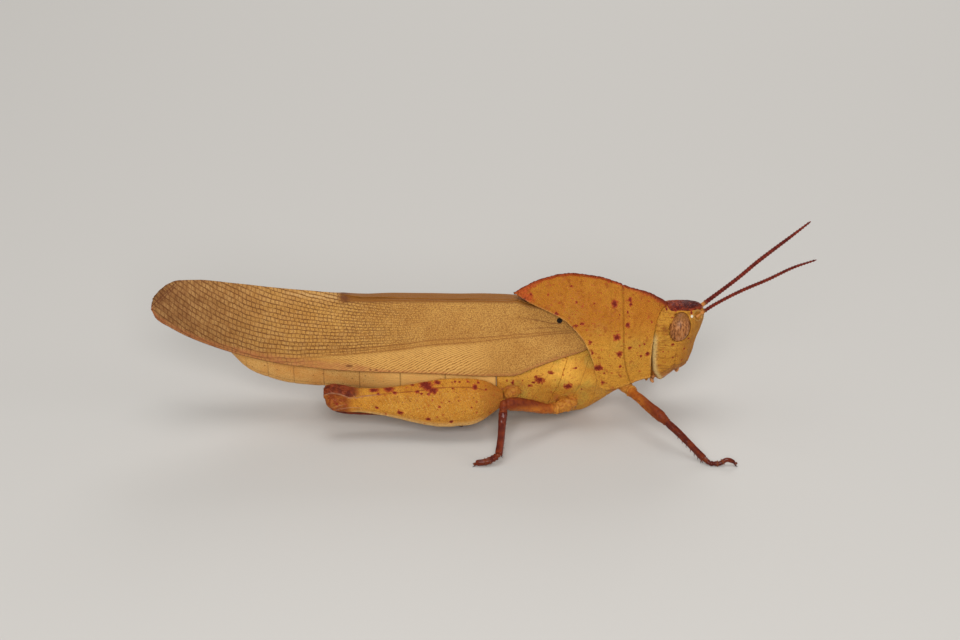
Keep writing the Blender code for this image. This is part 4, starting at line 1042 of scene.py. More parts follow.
for patch_x, patch_z, along, up, radius, strength in GREEN_PATCHES:
    green += strength * bell(np.hypot((x - patch_x) * along, (z - patch_z) * up), radius)
blush = 1.1 * np.clip(1 - from_keel / smooth(BLUSH_DEPTH, x), 0, 1)
blush = np.maximum(blush, bell(np.hypot((x - 4.3) / 1.3, (z - 13.3) / 0.55), 0.9))
shield_plate = skin(
    "pronotum_shield", lift(saddle, relief, around=False), facing=(0, 0, 1),
    spots=spots_at(saddle, PRONOTUM_SPOTS, 1.6),
    low=ease(-z, -11.5, -8.5),
    rim=rim,
    furrow=np.clip(grooves, 0, 1),
    green=np.clip(green, 0, 1),
    blush=blush,
    crest=bell(from_keel, smooth(CREST_WIDTH, x)),
)
wall = shield_plate.modifiers.new("wall", "SOLIDIFY")
wall.thickness, wall.offset, wall.use_even_offset = 0.2 * MM, -1, True
dress(shield_plate, "pronotum", shield.material, "pronotum")


# ---------------------------------------------------------------------------------------- hind wings
# The hind wings lie folded like closed fans beneath the fore wings: smoky membranes whose pleats
# run along them.

# x, the height of the foot and of the top, and how far out the fan reaches.
HINDWING = (
    (-2.5, 10.35, 11.0, 1.0), (-4, 10.3, 11.15, 1.3), (-8, 10.0, 11.2, 1.4), (-12, 9.95, 11.4, 1.25),
    (-16, 9.9, 11.9, 1.1), (-20, 9.9, 12.0, 0.9), (-23.5, 10.0, 11.8, 0.8), (-25.5, 10.1, 11.2, 0.7),
)
fan = Finish("folded_fan", 0.4, Coat_Weight=0.2)
fan_colour = fan.mottled((0.20, 0.12, 0.06), (0.33, 0.22, 0.12), 1.5)
fan.colour(fan.blend(fan.ramp(fan.field("pleat"), 0.2, 0.9, 0.8, 0), fan_colour, (0.07, 0.03, 0.015)))
fan.bump(fan.noise(0.25, 2), 0.02)
knots = np.array(HINDWING)[::-1]
x = np.linspace(-25.5, -2.5, 180)
foot, top, outer = (smooth(knots[:, [0, column]], x)[:, None] for column in (1, 2, 3))
turn = np.linspace(0, 2 * math.pi, 96, endpoint=False)[None]
tall = np.sign(np.sin(turn)) * np.abs(np.sin(turn)) ** 0.7
wide = np.sign(np.cos(turn)) * np.abs(np.cos(turn)) ** 0.7
for name, side in SIDES.items():
    y = 0.15 + (outer - 0.15) * (0.5 + 0.5 * wide) * (1 - 0.25 * ease(tall, 0.2, 1))
    z = (foot + top) / 2 + (top - foot) / 2 * tall
    leaf = np.stack([np.broadcast_to(x[:, None], y.shape), y, z], axis=-1)
    pleats = 0.5 + 0.5 * np.cos(turn * 15)
    leaf = lift(leaf, 0.05 * (pleats - 1))
    piece = tube("fan_" + name, sided(side, leaf), pleat=pleats)
    dress(piece, "hindwing", fan.material, "hindwing_" + name)


# ---------------------------------------------------------------------------------------- fore wings
# Each fore wing, or tegmen, is a leathery sheet folded along its length: a narrow band lies over
# the back, and the broad side hangs to the belly. Veins part it into rows of little cells.

WING_FOLD_Y = (
    (-32.9, 0.75), (-31.5, 0.95), (-29, 1.1), (-25, 1.25), (-20, 1.2), (-15, 1.0), (-11, 0.95), (-7, 1.0),
    (2, 1.0), (4.3, 0.75), (6.5, 0.85), (10.6, 1.0),
)
WING_FOLD_Z = (
    (-32.9, 12.4), (-32, 13.0), (-31, 13.5), (-29, 13.8), (-25, 13.4), (-20, 13.0), (-15, 12.95),
    (-7, 13.03), (3.2, 12.9), (4.8, 12.35), (6.5, 12.1), (10.6, 11.4),
)
WING_LOW_Y = (
    (-32.9, 0.8), (-31.5, 1.0), (-29, 1.35), (-25, 2.0), (-20, 2.6), (-15, 3.0), (-10, 3.4), (-5, 3.7),
    (0, 3.85), (3.8, 3.7), (5.8, 3.45), (7.8, 3.15), (9.8, 2.8), (10.6, 2.6),
)
WING_LOW_Z = (
    (-32.9, 11.9), (-32.5, 11.0), (-31.1, 10.05), (-29, 9.0), (-26.1, 8.0), (-23, 7.25), (-19, 6.6),
    (-13, 6.2), (-5, 6.2), (0, 6.0), (3, 5.95), (5.2, 6.75), (7.8, 7.6), (10, 8.2), (10.6, 8.5),
)
WING_TOP_Z = (
    (-32.9, 12.5), (-32.6, 13.0), (-32, 13.7), (-31.1, 14.4), (-30, 14.82), (-28.2, 14.88), (-25, 14.55),
    (-20, 13.95), (-15, 13.45), (-11, 13.1), (-6, 12.93), (3.2, 12.82), (4.8, 12.35), (10.6, 11.6),
)
# The left wing lies on top: past the middle of the wings its band reaches across the right one's.
WING_INNER_Y = {
    "left": ((-32.9, 0.3), (-31, 0.07), (-15.5, 0.07), (-11.5, -0.45), (10.6, -0.45)),
    "right": ((-32.9, 0.3), (-31, 0.07), (-15.5, 0.07), (-11.5, 0.30), (10.6, 0.30)),
}
WING_OVERLAP_Z = {
    "left": ((-31, 0), (-29, -0.1), (-16.5, -0.1), (-12, 0.05), (10.6, 0.05)),
    "right": ((-15.5, 0), (-12, -0.04), (10.6, -0.04)),
}
WING_BULGE = ((-33, 0.06), (-28, 0.3), (0, 0.3), (8, 0.12))
# Two guiding veins, as x and height up the hanging side: the median vein, which runs from the base
# to the tip, and a line the upper rows of cells follow.
MEDIAN = (
    (-33, 12.1), (-31, 10.47), (-28, 8.36), (-25, 6.82), (-22, 5.95), (-19, 5.71), (-14, 5.93), (-8, 6.45),
    (-5, 6.85), (-1, 7.1), (4, 7.55), (10.6, 8.1),
)
UPPER = (
    (-33, 22.95), (-28, 19.04), (-24, 16.43), (-20, 14.39), (-16, 12.89), (-12, 11.85), (-6, 11.0),
    (0, 10.7), (5, 10.2), (8, 9.5), (10.6, 8.9),
)


def wing_sheet(x, name):
    """The sheet at x, from its inner edge over the fold to its lower edge.

    The band runs straight to the fold, which is a quadratic curve, and the side then bulges from
    its chord by bulge times 4t(1 - t).
    """
    top = smooth(WING_TOP_Z, x) + smooth(WING_OVERLAP_Z[name], x)
    inner = np.stack([smooth(WING_INNER_Y[name], x), top], axis=-1)[:, None]
    fold = np.stack([smooth(WING_FOLD_Y, x), smooth(WING_FOLD_Z, x)], axis=-1)[:, None]
    low = np.stack([smooth(WING_LOW_Y, x), smooth(WING_LOW_Z, x)], axis=-1)[:, None]
    before, after = fold + (inner - fold) * 0.3, fold + (low - fold) * 0.15
    t = np.linspace(0, 1, 11)[None, :-1, None]
    band = inner + (before - inner) * t
    bend = before * (1 - t) ** 2 + fold * 2 * t * (1 - t) + after * t * t
    down = unit(low - fold)
    out = np.stack([-down[..., 1], down[..., 0]], axis=-1) * smooth(WING_BULGE, x)[:, None, None]
    t = np.linspace(0, 1, 68)[None, :, None]
    hang = after + (low - after) * t + out * 4 * t * (1 - t)
    yz = np.concatenate([band, bend, hang], axis=1)
    return np.concatenate([np.broadcast_to(x[:, None, None], yz.shape[:2] + (1,)), yz], axis=2)


tegmen = Finish("tegmen", 0.6)
tip_share = tegmen.ramp(tegmen.field("reach"), 0, 19, 1, 0)
leather = tegmen.mottled((0.52, 0.248, 0.053), (0.59, 0.30, 0.069), 2.2)
tip_leather = tegmen.mottled((0.240, 0.103, 0.035), (0.30, 0.140, 0.046), 1.2)
leather = tegmen.blend(tip_share, leather, tip_leather)
ragged = tegmen.waver(1.1, 3, 0.5)
row = tegmen.plus(tegmen.field("row"), tegmen.waver(1.5, 2, 0.7))
along = tegmen.plus(tegmen.field("along"), tegmen.waver(0.7, 2, 0.3))


def line(value, half):
    """1 where value is within half of a whole number, fading to 0."""
    away = tegmen.number("PINGPONG", value, 0.5)
    return tegmen.ramp(away, half * 0.4, half, 1, 0)


def chance(value):
    """A random number from 0 to 1 for each value."""
    node = tegmen.nodes.new("ShaderNodeTexWhiteNoise")
    node.noise_dimensions = "1D"
    tegmen.put(node.inputs["W"], value)
    return node.outputs["Value"]


# Rows of cells: a dark vein on each whole value of row, and cross-veins 0.42 mm apart, shifted by
# chance from row to row.
index = tegmen.number("ROUND", tegmen.number("SUBTRACT", row, 0.5))
steps = tegmen.number("MULTIPLY_ADD", along, 1 / 0.42, tegmen.times(chance(index), 5.0))
cross_veins = tegmen.times(line(steps, 0.13), 0.75)
faded = tegmen.ramp(tegmen.noise(0.5, 3), 0.32, 0.6, 0.55, 1.0)
veins = tegmen.times(tegmen.number("MAXIMUM", line(row, 0.165), cross_veins), faded)
step = tegmen.number("FLOOR", tegmen.plus(steps, 0.5))
cell = tegmen.number("MULTIPLY_ADD", step, 0.37, tegmen.times(index, 13.7))
cells = chance(cell)
far_out = tegmen.ramp(tegmen.plus(tegmen.field("reach"), tegmen.times(ragged, 8.0)), 18, 29, 1, 0.22)
rows_here = tegmen.times(far_out, tegmen.field("rows"))
# Painted highlights: some cells are painted paler, where their membranes would catch the light.
pale_cell = tegmen.times(tegmen.ramp(cells, 0.3, 1, 0.0, 0.32), rows_here)
leather = tegmen.blend(pale_cell, leather, (0.60, 0.34, 0.12))
grain = tegmen.cells(0.115)
grain_here = tegmen.ramp(tegmen.field("reach"), 12, 24, 0.3, 0.62)
# Painted highlights on the tops of the grains and painted shade in the pits between them.
tops = tegmen.times(tegmen.ramp(grain, 0.04, 0.34, 0.85, 0), grain_here)
pits = tegmen.times(tegmen.ramp(grain, 0.38, 0.72, 0, 1), grain_here)
leather = tegmen.blend(tops, leather, (0.78, 0.49, 0.165))
leather = tegmen.blend(pits, leather, (0.24, 0.090, 0.018))
dots = tegmen.ramp(tegmen.cells(0.42), 0.08, 0.2, 0.9, 0)
leather = tegmen.blend(tegmen.times(dots, grain_here), leather, (0.15, 0.05, 0.012))
leather = tegmen.blend(tegmen.times(tegmen.times(veins, rows_here), 0.85), leather, (0.15, 0.050, 0.014))
branch = tegmen.plus(tegmen.field("branch"), tegmen.waver(0.6, 3, 1.2))
pale_branches = tegmen.times(line(tegmen.plus(branch, 0.5), 0.22), tegmen.field("costal"))
leather = tegmen.blend(tegmen.field("costal", 0.6), leather, (0.70, 0.37, 0.092))
leather = tegmen.blend(tegmen.times(pale_branches, 0.6), leather, (0.84, 0.50, 0.16))
broken = tegmen.ramp(tegmen.noise(0.3, 3), 0.40, 0.60, 0.15, 0.8)
branches = tegmen.times(tegmen.times(line(branch, 0.22), tegmen.field("costal")), broken)
leather = tegmen.blend(branches, leather, (0.25, 0.085, 0.016))
squares = tegmen.times(line(tegmen.field("tip_along"), 0.16), tegmen.field("tip_strip"))
leather = tegmen.blend(tegmen.times(squares, 0.7), leather, (0.13, 0.04, 0.014))
hem_share = tegmen.times(tegmen.field("hem"), tegmen.ramp(tegmen.noise(0.4, 3), 0.3, 0.6, 0.2, 0.55))
leather = tegmen.blend(hem_share, leather, (0.46, 0.150, 0.055))
# The band over the back is painted darker: partly its own darker colour, partly painted shade on its upward
# face.
leather = tegmen.blend(tegmen.field("band", 0.75), leather, (0.30, 0.115, 0.016))
leather = tegmen.blend(tegmen.field("bright", 0.5), leather, (0.56, 0.23, 0.04))
gleaming = tegmen.times(tegmen.field("gleam"), line(tegmen.plus(row, 0.5), 0.4))
leather = tegmen.blend(gleaming, leather, (0.66, 0.42, 0.19))
leather = tegmen.blend(tegmen.field("shoulder", 0.45), leather, (0.22, 0.070, 0.010))
leather = tegmen.blend(tegmen.field("dark", 0.8), leather, (0.12, 0.03, 0.012))
tegmen.colour(tegmen.blend(tegmen.ramp(tegmen.field("spots"), 0.3, 0.5), leather, (0.012, 0.008, 0.006)))
tegmen.bump(tegmen.times(veins, rows_here), 0.035)
tegmen.bump(tegmen.times(tegmen.ramp(grain, 0, 0.7, 1, 0), grain_here), 0.06)

# Places along a row of the sheet: its first FOLD_COLUMN points are the band over the back.
FOLD_COLUMN = 14
WING_TIP_X, WING_LENGTH = -32.9, 43.5
# The rusty hem's width, along x.
HEM = (
    (-33, 0.8), (-28, 0.75), (-20, 1.1), (-14, 1.1), (-9, 0.35), (-3, 0.5), (3, 0.9), (8, 0.8), (10.6, 0.2),
)
# How close the lines along the lower edge lie, and two veins that fan out from the root, along x.
BASE_CLOSENESS = ((-6, 0.4), (0, 1), (10.6, 0.7))
UPPER_FAN = ((-2, 9.6), (2, 9.5), (5.2, 9.15), (7.0, 8.75))
LOWER_FAN = ((-2, 8.2), (4, 8.25), (7.0, 8.35), (8.6, 8.15))
HEM_MARKS = (
    (-13.2, 6.75, 0.16, 2.6), (-11.1, 6.45, 0.10, 1.6), (-10.5, 6.45, 0.11, 1.4), (-9.2, 6.4, 0.08, 1.5),
)
ROOT_SPOT = ((7.75, 10.98, 0.28, 1.2),)
share = np.linspace(0, 1, 430)
x = WING_TIP_X + WING_LENGTH * (0.35 * share + 0.65 * share**1.8)
for name, side in SIDES.items():
    wing = wing_sheet(x, name)
    y = wing[..., 1]
    at = np.broadcast_to(x[:, None], y.shape)
    height = up_slope(wing)
    column = np.arange(y.shape[1])[None]
    median, upper = smooth(MEDIAN, x)[:, None], smooth(UPPER, x)[:, None]
    row = (height - median) / (upper - median) * 20
    below = median - height
    branch = (at + (-0.15 + np.sqrt(0.0225 + 0.072 * np.clip(below, 0, 9))) / 0.036) / 0.62
    lengths = np.linalg.norm(np.diff(wing, axis=1), axis=-1)
    from_inner = np.concatenate([np.zeros((len(x), 1)), np.cumsum(lengths, axis=1)], axis=1)
    from_low = from_inner[:, -1:] - from_inner
    from_tip = 0.69 * (at + 30.57) - 0.724 * (height - 13.0)
    costal = ease(below, 0.25, 0.6) * between(at, -17.0, -12.5, -2.5, 2.5)
    rows = 1 - ease(below, 0.1, 0.4) * ease(at, -19.5, -14.5)
    hem_width = (1 - 0.55 * ease(at, -7, -1)) * smooth(HEM, x)[:, None]
    hem = 1 - ease(from_low, hem_width * 0.5, hem_width * 1.1)
    hem = hem * np.where(at < -9, 1, 0.75)
    band_end = ease(at, -14.5, -13.0)
    band = (column < FOLD_COLUMN) * band_end
    twin = 0.10 + 0.13 * ease(-at, -8, 6)
    bright = 0.8 * (bell(below - twin, 0.055) + bell(below + twin, 0.055)) + 0.3 * bell(below, twin * 0.8)
    bright = bright * ease(at, -19, -15) * (1 - ease(at, 5.5, 9.5))
    bright += 0.7 * bell(from_low - 1.05, 0.13) * between(at, -22, -18.5, -14.5, -12.5)
    dark_lines = bell(from_tip - 0.27, 0.05) + 0.8 * bell(from_tip - 0.52, 0.05)
    dark_lines = dark_lines * ease(-at, 30.0, 30.4) + 0.7 * bell(from_low, 0.07)
    dark_lines += 0.6 * bell(from_low - 0.3, 0.05) * ease(-at, 19, 23) * ease(from_tip, 0.3, 0.6)
    twin_veins = bell(below - twin, 0.05) + bell(below + twin, 0.05)
    dark_lines += 0.75 * twin_veins * between(at, -18, -12, 8.5, 10)
    for depth in (0.55, 0.95, 1.35, 1.8):
        away = from_low - hem_width * 0.6 - depth
        dark_lines += 0.45 * bell(away, 0.045) * between(at, -21, -18, -14, -12)
    for depth in (0.22, 0.42, 0.64):
        away = from_low - depth * smooth(BASE_CLOSENESS, x)[:, None]
        dark_lines += 0.35 * bell(away, 0.045) * ease(at, -6, -1)
    dark_lines += 0.9 * ease(spots_at(wing, HEM_MARKS), 0.2, 0.6)
    fold_line = bell(column - FOLD_COLUMN, 0.8) * band_end
    for depth in (0.3, 0.6):
        dark_lines += 0.3 * bell(from_inner - depth, 0.05) * band_end
    fan_lines = bell(height - smooth(UPPER_FAN, x)[:, None], 0.06) * ease(at, 3.0, 6.0)
    fan_lines += 0.7 * bell(height - smooth(LOWER_FAN, x)[:, None], 0.06) * ease(at, 4.0, 6.0)
    dark_lines = dark_lines + 0.5 * fold_line + 0.8 * fan_lines * ease(-at, -8.2, -7.8)
    stain = bell(np.hypot((at + 13.7) / 0.5, (from_inner - 0.45) / 0.55), 1.0)
    dark_lines = np.clip(dark_lines + 1.2 * stain, 0, 1)
    gleam = 0.5 * bell(from_inner - 0.55, 0.35) * between(at, -21, -17, -14.6, -14.0)
    on_rows = rows * (1 - ease(at, -12, -4))
    relief = 0.05 * stain - 0.012 * np.cos(math.pi * row) * on_rows
    relief -= 0.014 * np.cos(2 * math.pi * branch) * costal
    relief -= 0.02 * bell(below, twin * 0.8) * ease(at, -12, -8)
    relief += 0.03 * (bright + bell(from_low - 0.08, 0.08) + fold_line + ripple(wing, 3.5, 4))
    relief += 0.03 * bell(from_tip - 0.46, 0.15) * ease(-at, 29.5, 30.5)
    wing = lift(wing, relief, around=False)
    piece = skin(
        "tegmen_" + name, sided(side, wing), facing=(0, side, 0.2),
        row=row,
        along=at,
        reach=at - WING_TIP_X,
        rows=rows * (1 - 0.7 * band),
        branch=branch,
        costal=costal,
        gleam=gleam,
        shoulder=band,
        hem=hem,
        band=band,
        bright=np.clip(bright, 0, 1),
        dark=dark_lines,
        spots=spots_at(wing, ROOT_SPOT),
        tip_strip=ease(-from_tip, -0.54, -0.50) * ease(-at, 30.0, 30.6),
        tip_along=(0.724 * (at + 30.57) + 0.69 * (height - 13.0)) / 0.3,
    )
    wall = piece.modifiers.new("wall", "SOLIDIFY")
    wall.thickness, wall.offset, wall.use_even_offset = 0.09 * MM, -1, True
    dress(piece, "forewing", tegmen.material, "forewing_" + name)


# -------------------------------------------------------------------------------------------- head
# The head is one hard capsule. Its face slopes back to the mouth, with a grooved ridge down its
# middle, and it has sockets for the eyes and the feelers.

# Height, the front and the rear x, the half-width, and the x where the head is widest.
HEAD_LEVELS = (
    (4.7, 19.8, 17.75, 1.4, 18.6),
    (5.1, 20.2, 17.35, 1.9, 18.7),
    (5.9, 20.7, 17.05, 2.35, 18.8),
    (7.2, 21.1, 16.92, 2.55, 18.9),
    (8.6, 21.45, 16.9, 2.5, 19.0),
    (9.7, 21.85, 16.9, 2.35, 19.2),
    (10.6, 22.1, 16.95, 2.15, 19.5),
    (11.3, 22.2, 17.1, 1.85, 19.7),
    (11.75, 22.05, 17.7, 1.4, 20.0),
    (12.03, 21.8, 18.2, 1.05, 20.3),
    (12.19, 21.4, 18.8, 0.7, 20.3),
    (12.27, 20.9, 19.6, 0.35, 20.2),
)
EYE_CENTRE, EYE_RADII = (19.7, 1.65, 10.4), (1.08, 0.85, 1.5)
EYE_LEAN, EYE_ROLL = math.radians(15), math.radians(20)
SOCKET_CENTRE, SOCKET_AIM, PIT_RADIUS = (21.5, 1.1, 11.4), (0.72, 0.35, 0.6), 0.42
# Lines on the head. By height: where the face starts, the line under the eye and the rear rim, as x,
# and how far from the middle the face's side keels run. By x: the lower end of the cheek.
FACE_START = ((4.7, 18.6), (8.6, 19.0), (12.3, 20.3))
UNDER_EYE = ((5.4, 19.1), (9.0, 19.55))
REAR_RIM = ((4.7, 17.95), (5.9, 17.35), (7.2, 17.2), (10.6, 17.3), (11.3, 17.7))
FACE_KEEL = ((5.5, 1.35), (8, 1.15), (10.5, 0.95))
CHEEK_END = (
    (17.0, 6.7), (17.3, 5.65), (17.8, 5.4), (18.25, 5.75), (18.75, 6.05), (19.15, 6.6), (19.7, 6.5),
    (20.8, 6.4),
)


def levels(table, rows, columns):
    """Level rings of a head part: half an ellipse in front, and squarer behind its widest place."""
    knots = np.arange(len(table))
    place = np.linspace(0, len(table) - 1, rows)
    values = [smooth(np.stack([knots, column], axis=1), place)[:, None] for column in np.array(table).T]
    z, front, rear, half, widest = values
    turn = np.linspace(0, 2 * math.pi, columns, endpoint=False)[None]
    ahead, across = np.cos(turn), np.sin(turn)
    squareness = 0.28 + 0.3 * ease(z, 11.6, 12.2)
    power = squareness + (1 - squareness) * ease(ahead, -0.25, 0.25)
    reach = np.where(ahead > 0, front - widest, widest - rear)
    x = widest + reach * np.sign(ahead) * np.abs(ahead) ** power
    y = half * np.sign(across) * np.abs(across) ** power
    return np.stack([x, y, np.broadcast_to(z, x.shape)], axis=-1)


def eye_place(points, side, grow=0.0):
    """The points in the eye's own frame, where its surface is the unit ball."""
    turned = np.array(Matrix.Rotation(side * EYE_ROLL, 3, "X") @ Matrix.Rotation(EYE_LEAN, 3, "Y"))
    return ((points - sided(side, EYE_CENTRE)) @ turned) / (np.array(EYE_RADII) + grow), turned


capsule = levels(HEAD_LEVELS, 190, 280)
capsule[..., 2] += ease(-capsule[..., 2], -6.6, -4.7) * (ease(capsule[..., 0], 17.7, 19.5) - 0.4)
x, y, z = np.moveaxis(capsule, -1, 0)
facing_ahead = ease(x - smooth(FACE_START, z), 0.3, 1.6)
costa = ease(-np.abs(y), -0.62, -0.40) * facing_ahead * ease(z, 6.2, 7.0)
furrow = bell(y, 0.2) * facing_ahead * between(z, 7.0, 8.0, 11.3, 11.9)
cheek_keel = bell(np.abs(y) - smooth(FACE_KEEL, z), 0.12) * facing_ahead * ease(-z, -10.8, -10)
below_eye = bell(x - smooth(UNDER_EYE, z), 0.07) * between(z, 5.3, 5.6, 8.7, 9.0) * (np.abs(y) > 1)
above_lip = bell(z - 5.95 - 0.25 * np.abs(y), 0.07) * facing_ahead
back_rim = bell(x - smooth(REAR_RIM, z), 0.24) * ease(-z, -10.2, -9.2)
crown_keel = bell(y, 0.1) * ease(z, 11.9, 12.1)
relief = 0.05 * costa + 0.06 * cheek_keel + 0.06 * back_rim + 0.04 * crown_keel
relief -= 0.07 * furrow + 0.05 * below_eye + 0.06 * above_lip
relief += 0.015 * ripple(capsule, 0.9, 6) + 0.008 * ripple(capsule, 0.35, 7)
# On the levels lift moves inwards, so the relief is turned over.
capsule = lift(capsule, -relief)
rim = 0.9 * back_rim
orbit = np.zeros(x.shape)
for side in SIDES.values():
    place, turned = eye_place(capsule, side, 0.03)
    reach = np.linalg.norm(place, axis=-1)
    on_side = capsule[..., 1] * side > 0.2
    orbit = np.maximum(orbit, bell(reach - 1.10, 0.06) * on_side)
    away = unit(capsule - sided(side, EYE_CENTRE))
    capsule = capsule + away * (0.05 * bell(reach - 1.08, 0.08) * on_side)[..., None]
    inside = (reach < 1) & on_side
    sunk = place.copy()
    sunk[..., 1] = -side * np.sqrt(np.clip(1 - place[..., 0] ** 2 - place[..., 2] ** 2, 0.0, 1))
    sunk = (sunk * (np.array(EYE_RADII) + 0.03)) @ turned.T + sided(side, EYE_CENTRE)
    capsule = np.where(inside[..., None], sunk, capsule)
    centre = sided(side, SOCKET_CENTRE)
    away = capsule - centre
    reach = np.linalg.norm(away, axis=-1)
    rim = np.maximum(rim, 0.3 * bell(reach - 0.50, 0.06))
    out_way = unit(sided(side, SOCKET_AIM))
    capsule = capsule + out_way * (0.07 * bell(reach - 0.55, 0.08))[..., None]
    deep = np.clip(1 - (reach / PIT_RADIUS) ** 2, 0, 1)
    capsule = capsule - out_way * (0.25 * np.sqrt(deep))[..., None]

HEAD_SPOTS = (
    (19.05, 8.85, 0.14, 1.0), (18.1, 8.1, 0.09, 1.0), (19.05, 7.45, 0.11, 1.0), (20.6, 9.3, 0.12, 1.0),
    (20.2, 8.2, 0.10, 1.4), (18.9, 11.5, 0.07, 1.0), (20.0, 7.0, 0.08, 1.0), (20.85, 11.8, 0.12, 1.0),
    (18.4, 12.0, 0.08, 1.2), (19.3, 12.0, 0.09, 1.0),
)
face, face_colour = cuticle(
    "head_capsule", (0.70, 0.315, 0.036), (0.76, 0.39, 0.055), (0.54, 0.21, 0.022), 0.10
)
wrinkles = face.noise(0.3, 3, face.stretch((0.35, 1.0, 1.6)))
wrinkles = face.times(face.ramp(wrinkles, 0.5, 0.62), face.ramp(face.field("front"), 0.0, 0.3, 0.6, 0.0))
face_colour = face.blend(wrinkles, face_colour, (0.36, 0.115, 0.014))
shaded = face.mottled((0.30, 0.095, 0.012), (0.42, 0.155, 0.020), 0.7, 4, 0.3, 0.65)
face_colour = face.blend(face.field("front", 0.65), face_colour, shaded)
smudge = face.times(face.field("smudge"), face.ramp(face.noise(0.4, 4), 0.3, 0.6, 0.2, 1))
face_colour = face.blend(smudge, face_colour, (0.24, 0.07, 0.012))
jaw_tone = face.mottled((0.26, 0.085, 0.020), (0.46, 0.18, 0.042), 0.3, 4, 0.4, 0.6)
face_colour = face.blend(face.field("jaw", 0.8), face_colour, jaw_tone)
crown_red = face.mottled((0.11, 0.008, 0.005), (0.30, 0.045, 0.012), 0.4, 3, 0.35, 0.6)
crown_front = face.ramp(face.field("crown_front"), 0.2, 0.9, 0, 0.85)
crown_red = face.blend(crown_front, crown_red, (0.055, 0.004, 0.005))
crown_edge = face.plus(face.field("crown"), face.waver(0.3, 4, 0.7))
face_colour = face.blend(face.ramp(crown_edge, 0.3, 0.6), face_colour, crown_red)
face_colour = face.blend(face.field("groove", 0.6), face_colour, (0.17, 0.055, 0.01))
face_colour = face.blend(face.field("lip_rim", 0.85), face_colour, (0.82, 0.34, 0.15))
face_colour = face.blend(face.field("rim", 0.8), face_colour, (0.85, 0.64, 0.27))
# Ocelli painted near white: pale lenses and a painted highlight.
face.colour(face.blend(face.field("pearl"), spotted(face, face_colour), (0.88, 0.80, 0.64)))
# The crown is red from a slanting line behind the eyes forward, and nearly black at its front.
crown = 1.15 * ease(z - 0.42 * np.clip(18.9 - x, 0, 3), 11.85, 12.06) * ease(x, 17.2, 18.0)
crown = np.maximum(crown, 0.9 * ease(z, 11.7, 11.95) * ease(x, 21.2, 21.8))
smudge = 0.9 * bell(np.hypot(x - 18.35, z - 10.4), 0.4) + 0.5 * bell(np.hypot(x - 18.2, z - 9.3), 0.4)
# The cheek ends below in a curved line. The jaw shows under it, with a pinkish rim at its foot.
cheek_end = smooth(CHEEK_END, x)
jaw = 1 - ease(z, cheek_end - 0.05, cheek_end + 0.05)
cheek_line = bell(z - cheek_end, 0.05)
lip_rim = bell(z - 4.62 - 0.62 * np.clip(x - 17.65, 0, 1.8), 0.13)
grooves = 0.4 * below_eye + 0.8 * cheek_line + 0.6 * furrow + 0.15 * orbit
head_piece = tube(
    "head_capsule", capsule,
    spots=spots_at(capsule, HEAD_SPOTS),
    front=facing_ahead,
    crown=crown,
    rim=rim,
    groove=np.clip(grooves, 0, 1),
    smudge=smudge,
    jaw=jaw,
    lip_rim=lip_rim,
    crown_front=ease(x, 19.2, 20.6) * ease(z, 11.98, 12.2),
    pearl=0.0,
)
# Three ocelli, like beads: one before each eye, and one low on the face's ridge. They are painted near
# white: their pale lenses with a painted highlight.
OCELLI, OCELLUS_RADIUS = ((20.9, 1.45, 11.48), (20.9, -1.45, 11.48), (22.1, 0, 10.55)), 0.155
parts = [head_piece]
for place in OCELLI:
    parts.append(tube("bead", ball(place, OCELLUS_RADIUS, rings=20, sides=24), pearl=1.0))
dress(join("head_capsule", parts), "head", face.material, "head")


# -------------------------------------------------------------------------------------------- eyes
# Each eye is a long smooth bulb of tiny facets. It is brown, with broken dark stripes that stand
# upright, and it darkens toward the crown.

lens = Finish("eye_lens", 0.38, Coat_Weight=0.12, Coat_Roughness=0.3)
upright = lens.stretch((1.0, 1.0, 0.3), -EYE_LEAN)
stripes = lens.noise(0.28, 3, upright)
eye_colour = lens.mottled((0.36, 0.128, 0.034), (0.43, 0.17, 0.052), 0.9)
eye_colour = lens.blend(lens.ramp(stripes, 0.50, 0.62, 0, 0.6), eye_colour, (0.19, 0.062, 0.016))
dashes = lens.noise(0.13, 2, upright)
eye_colour = lens.blend(lens.ramp(dashes, 0.51, 0.60, 0, 0.75), eye_colour, (0.09, 0.025, 0.009))
eye_colour = lens.blend(lens.ramp(dashes, 0.36, 0.46, 0.35, 0), eye_colour, (0.56, 0.27, 0.12))
eye_colour = lens.blend(lens.field("shade", 0.6), eye_colour, (0.22, 0.085, 0.018))
lens.colour(lens.blend(lens.field("brink", 0.5), eye_colour, (0.40, 0.17, 0.06)))
lens.bump(lens.cells(0.055), 0.006)
for name, side in SIDES.items():
    radii = np.array(EYE_RADII) * (0.985, 1, 1)
    bulb = ball(sided(side, EYE_CENTRE), radii, EYE_LEAN, side * EYE_ROLL, 120, 140)
    place, _ = eye_place(bulb, side)
    brink = ease(-side * place[..., 1], -0.42, 0.1)
    piece = tube("eye_bulb_" + name, bulb, brink=brink, shade=ease(bulb[..., 2], 10.9, 11.7))
    dress(piece, "eye", lens.material, "eye_" + name)


# --------------------------------------------------------------------------------------- mouthparts
# Below the face hang the lip, a notched plate, and behind it the two jaws with their dark cutting
# ends. A jointed palp stands on either side.

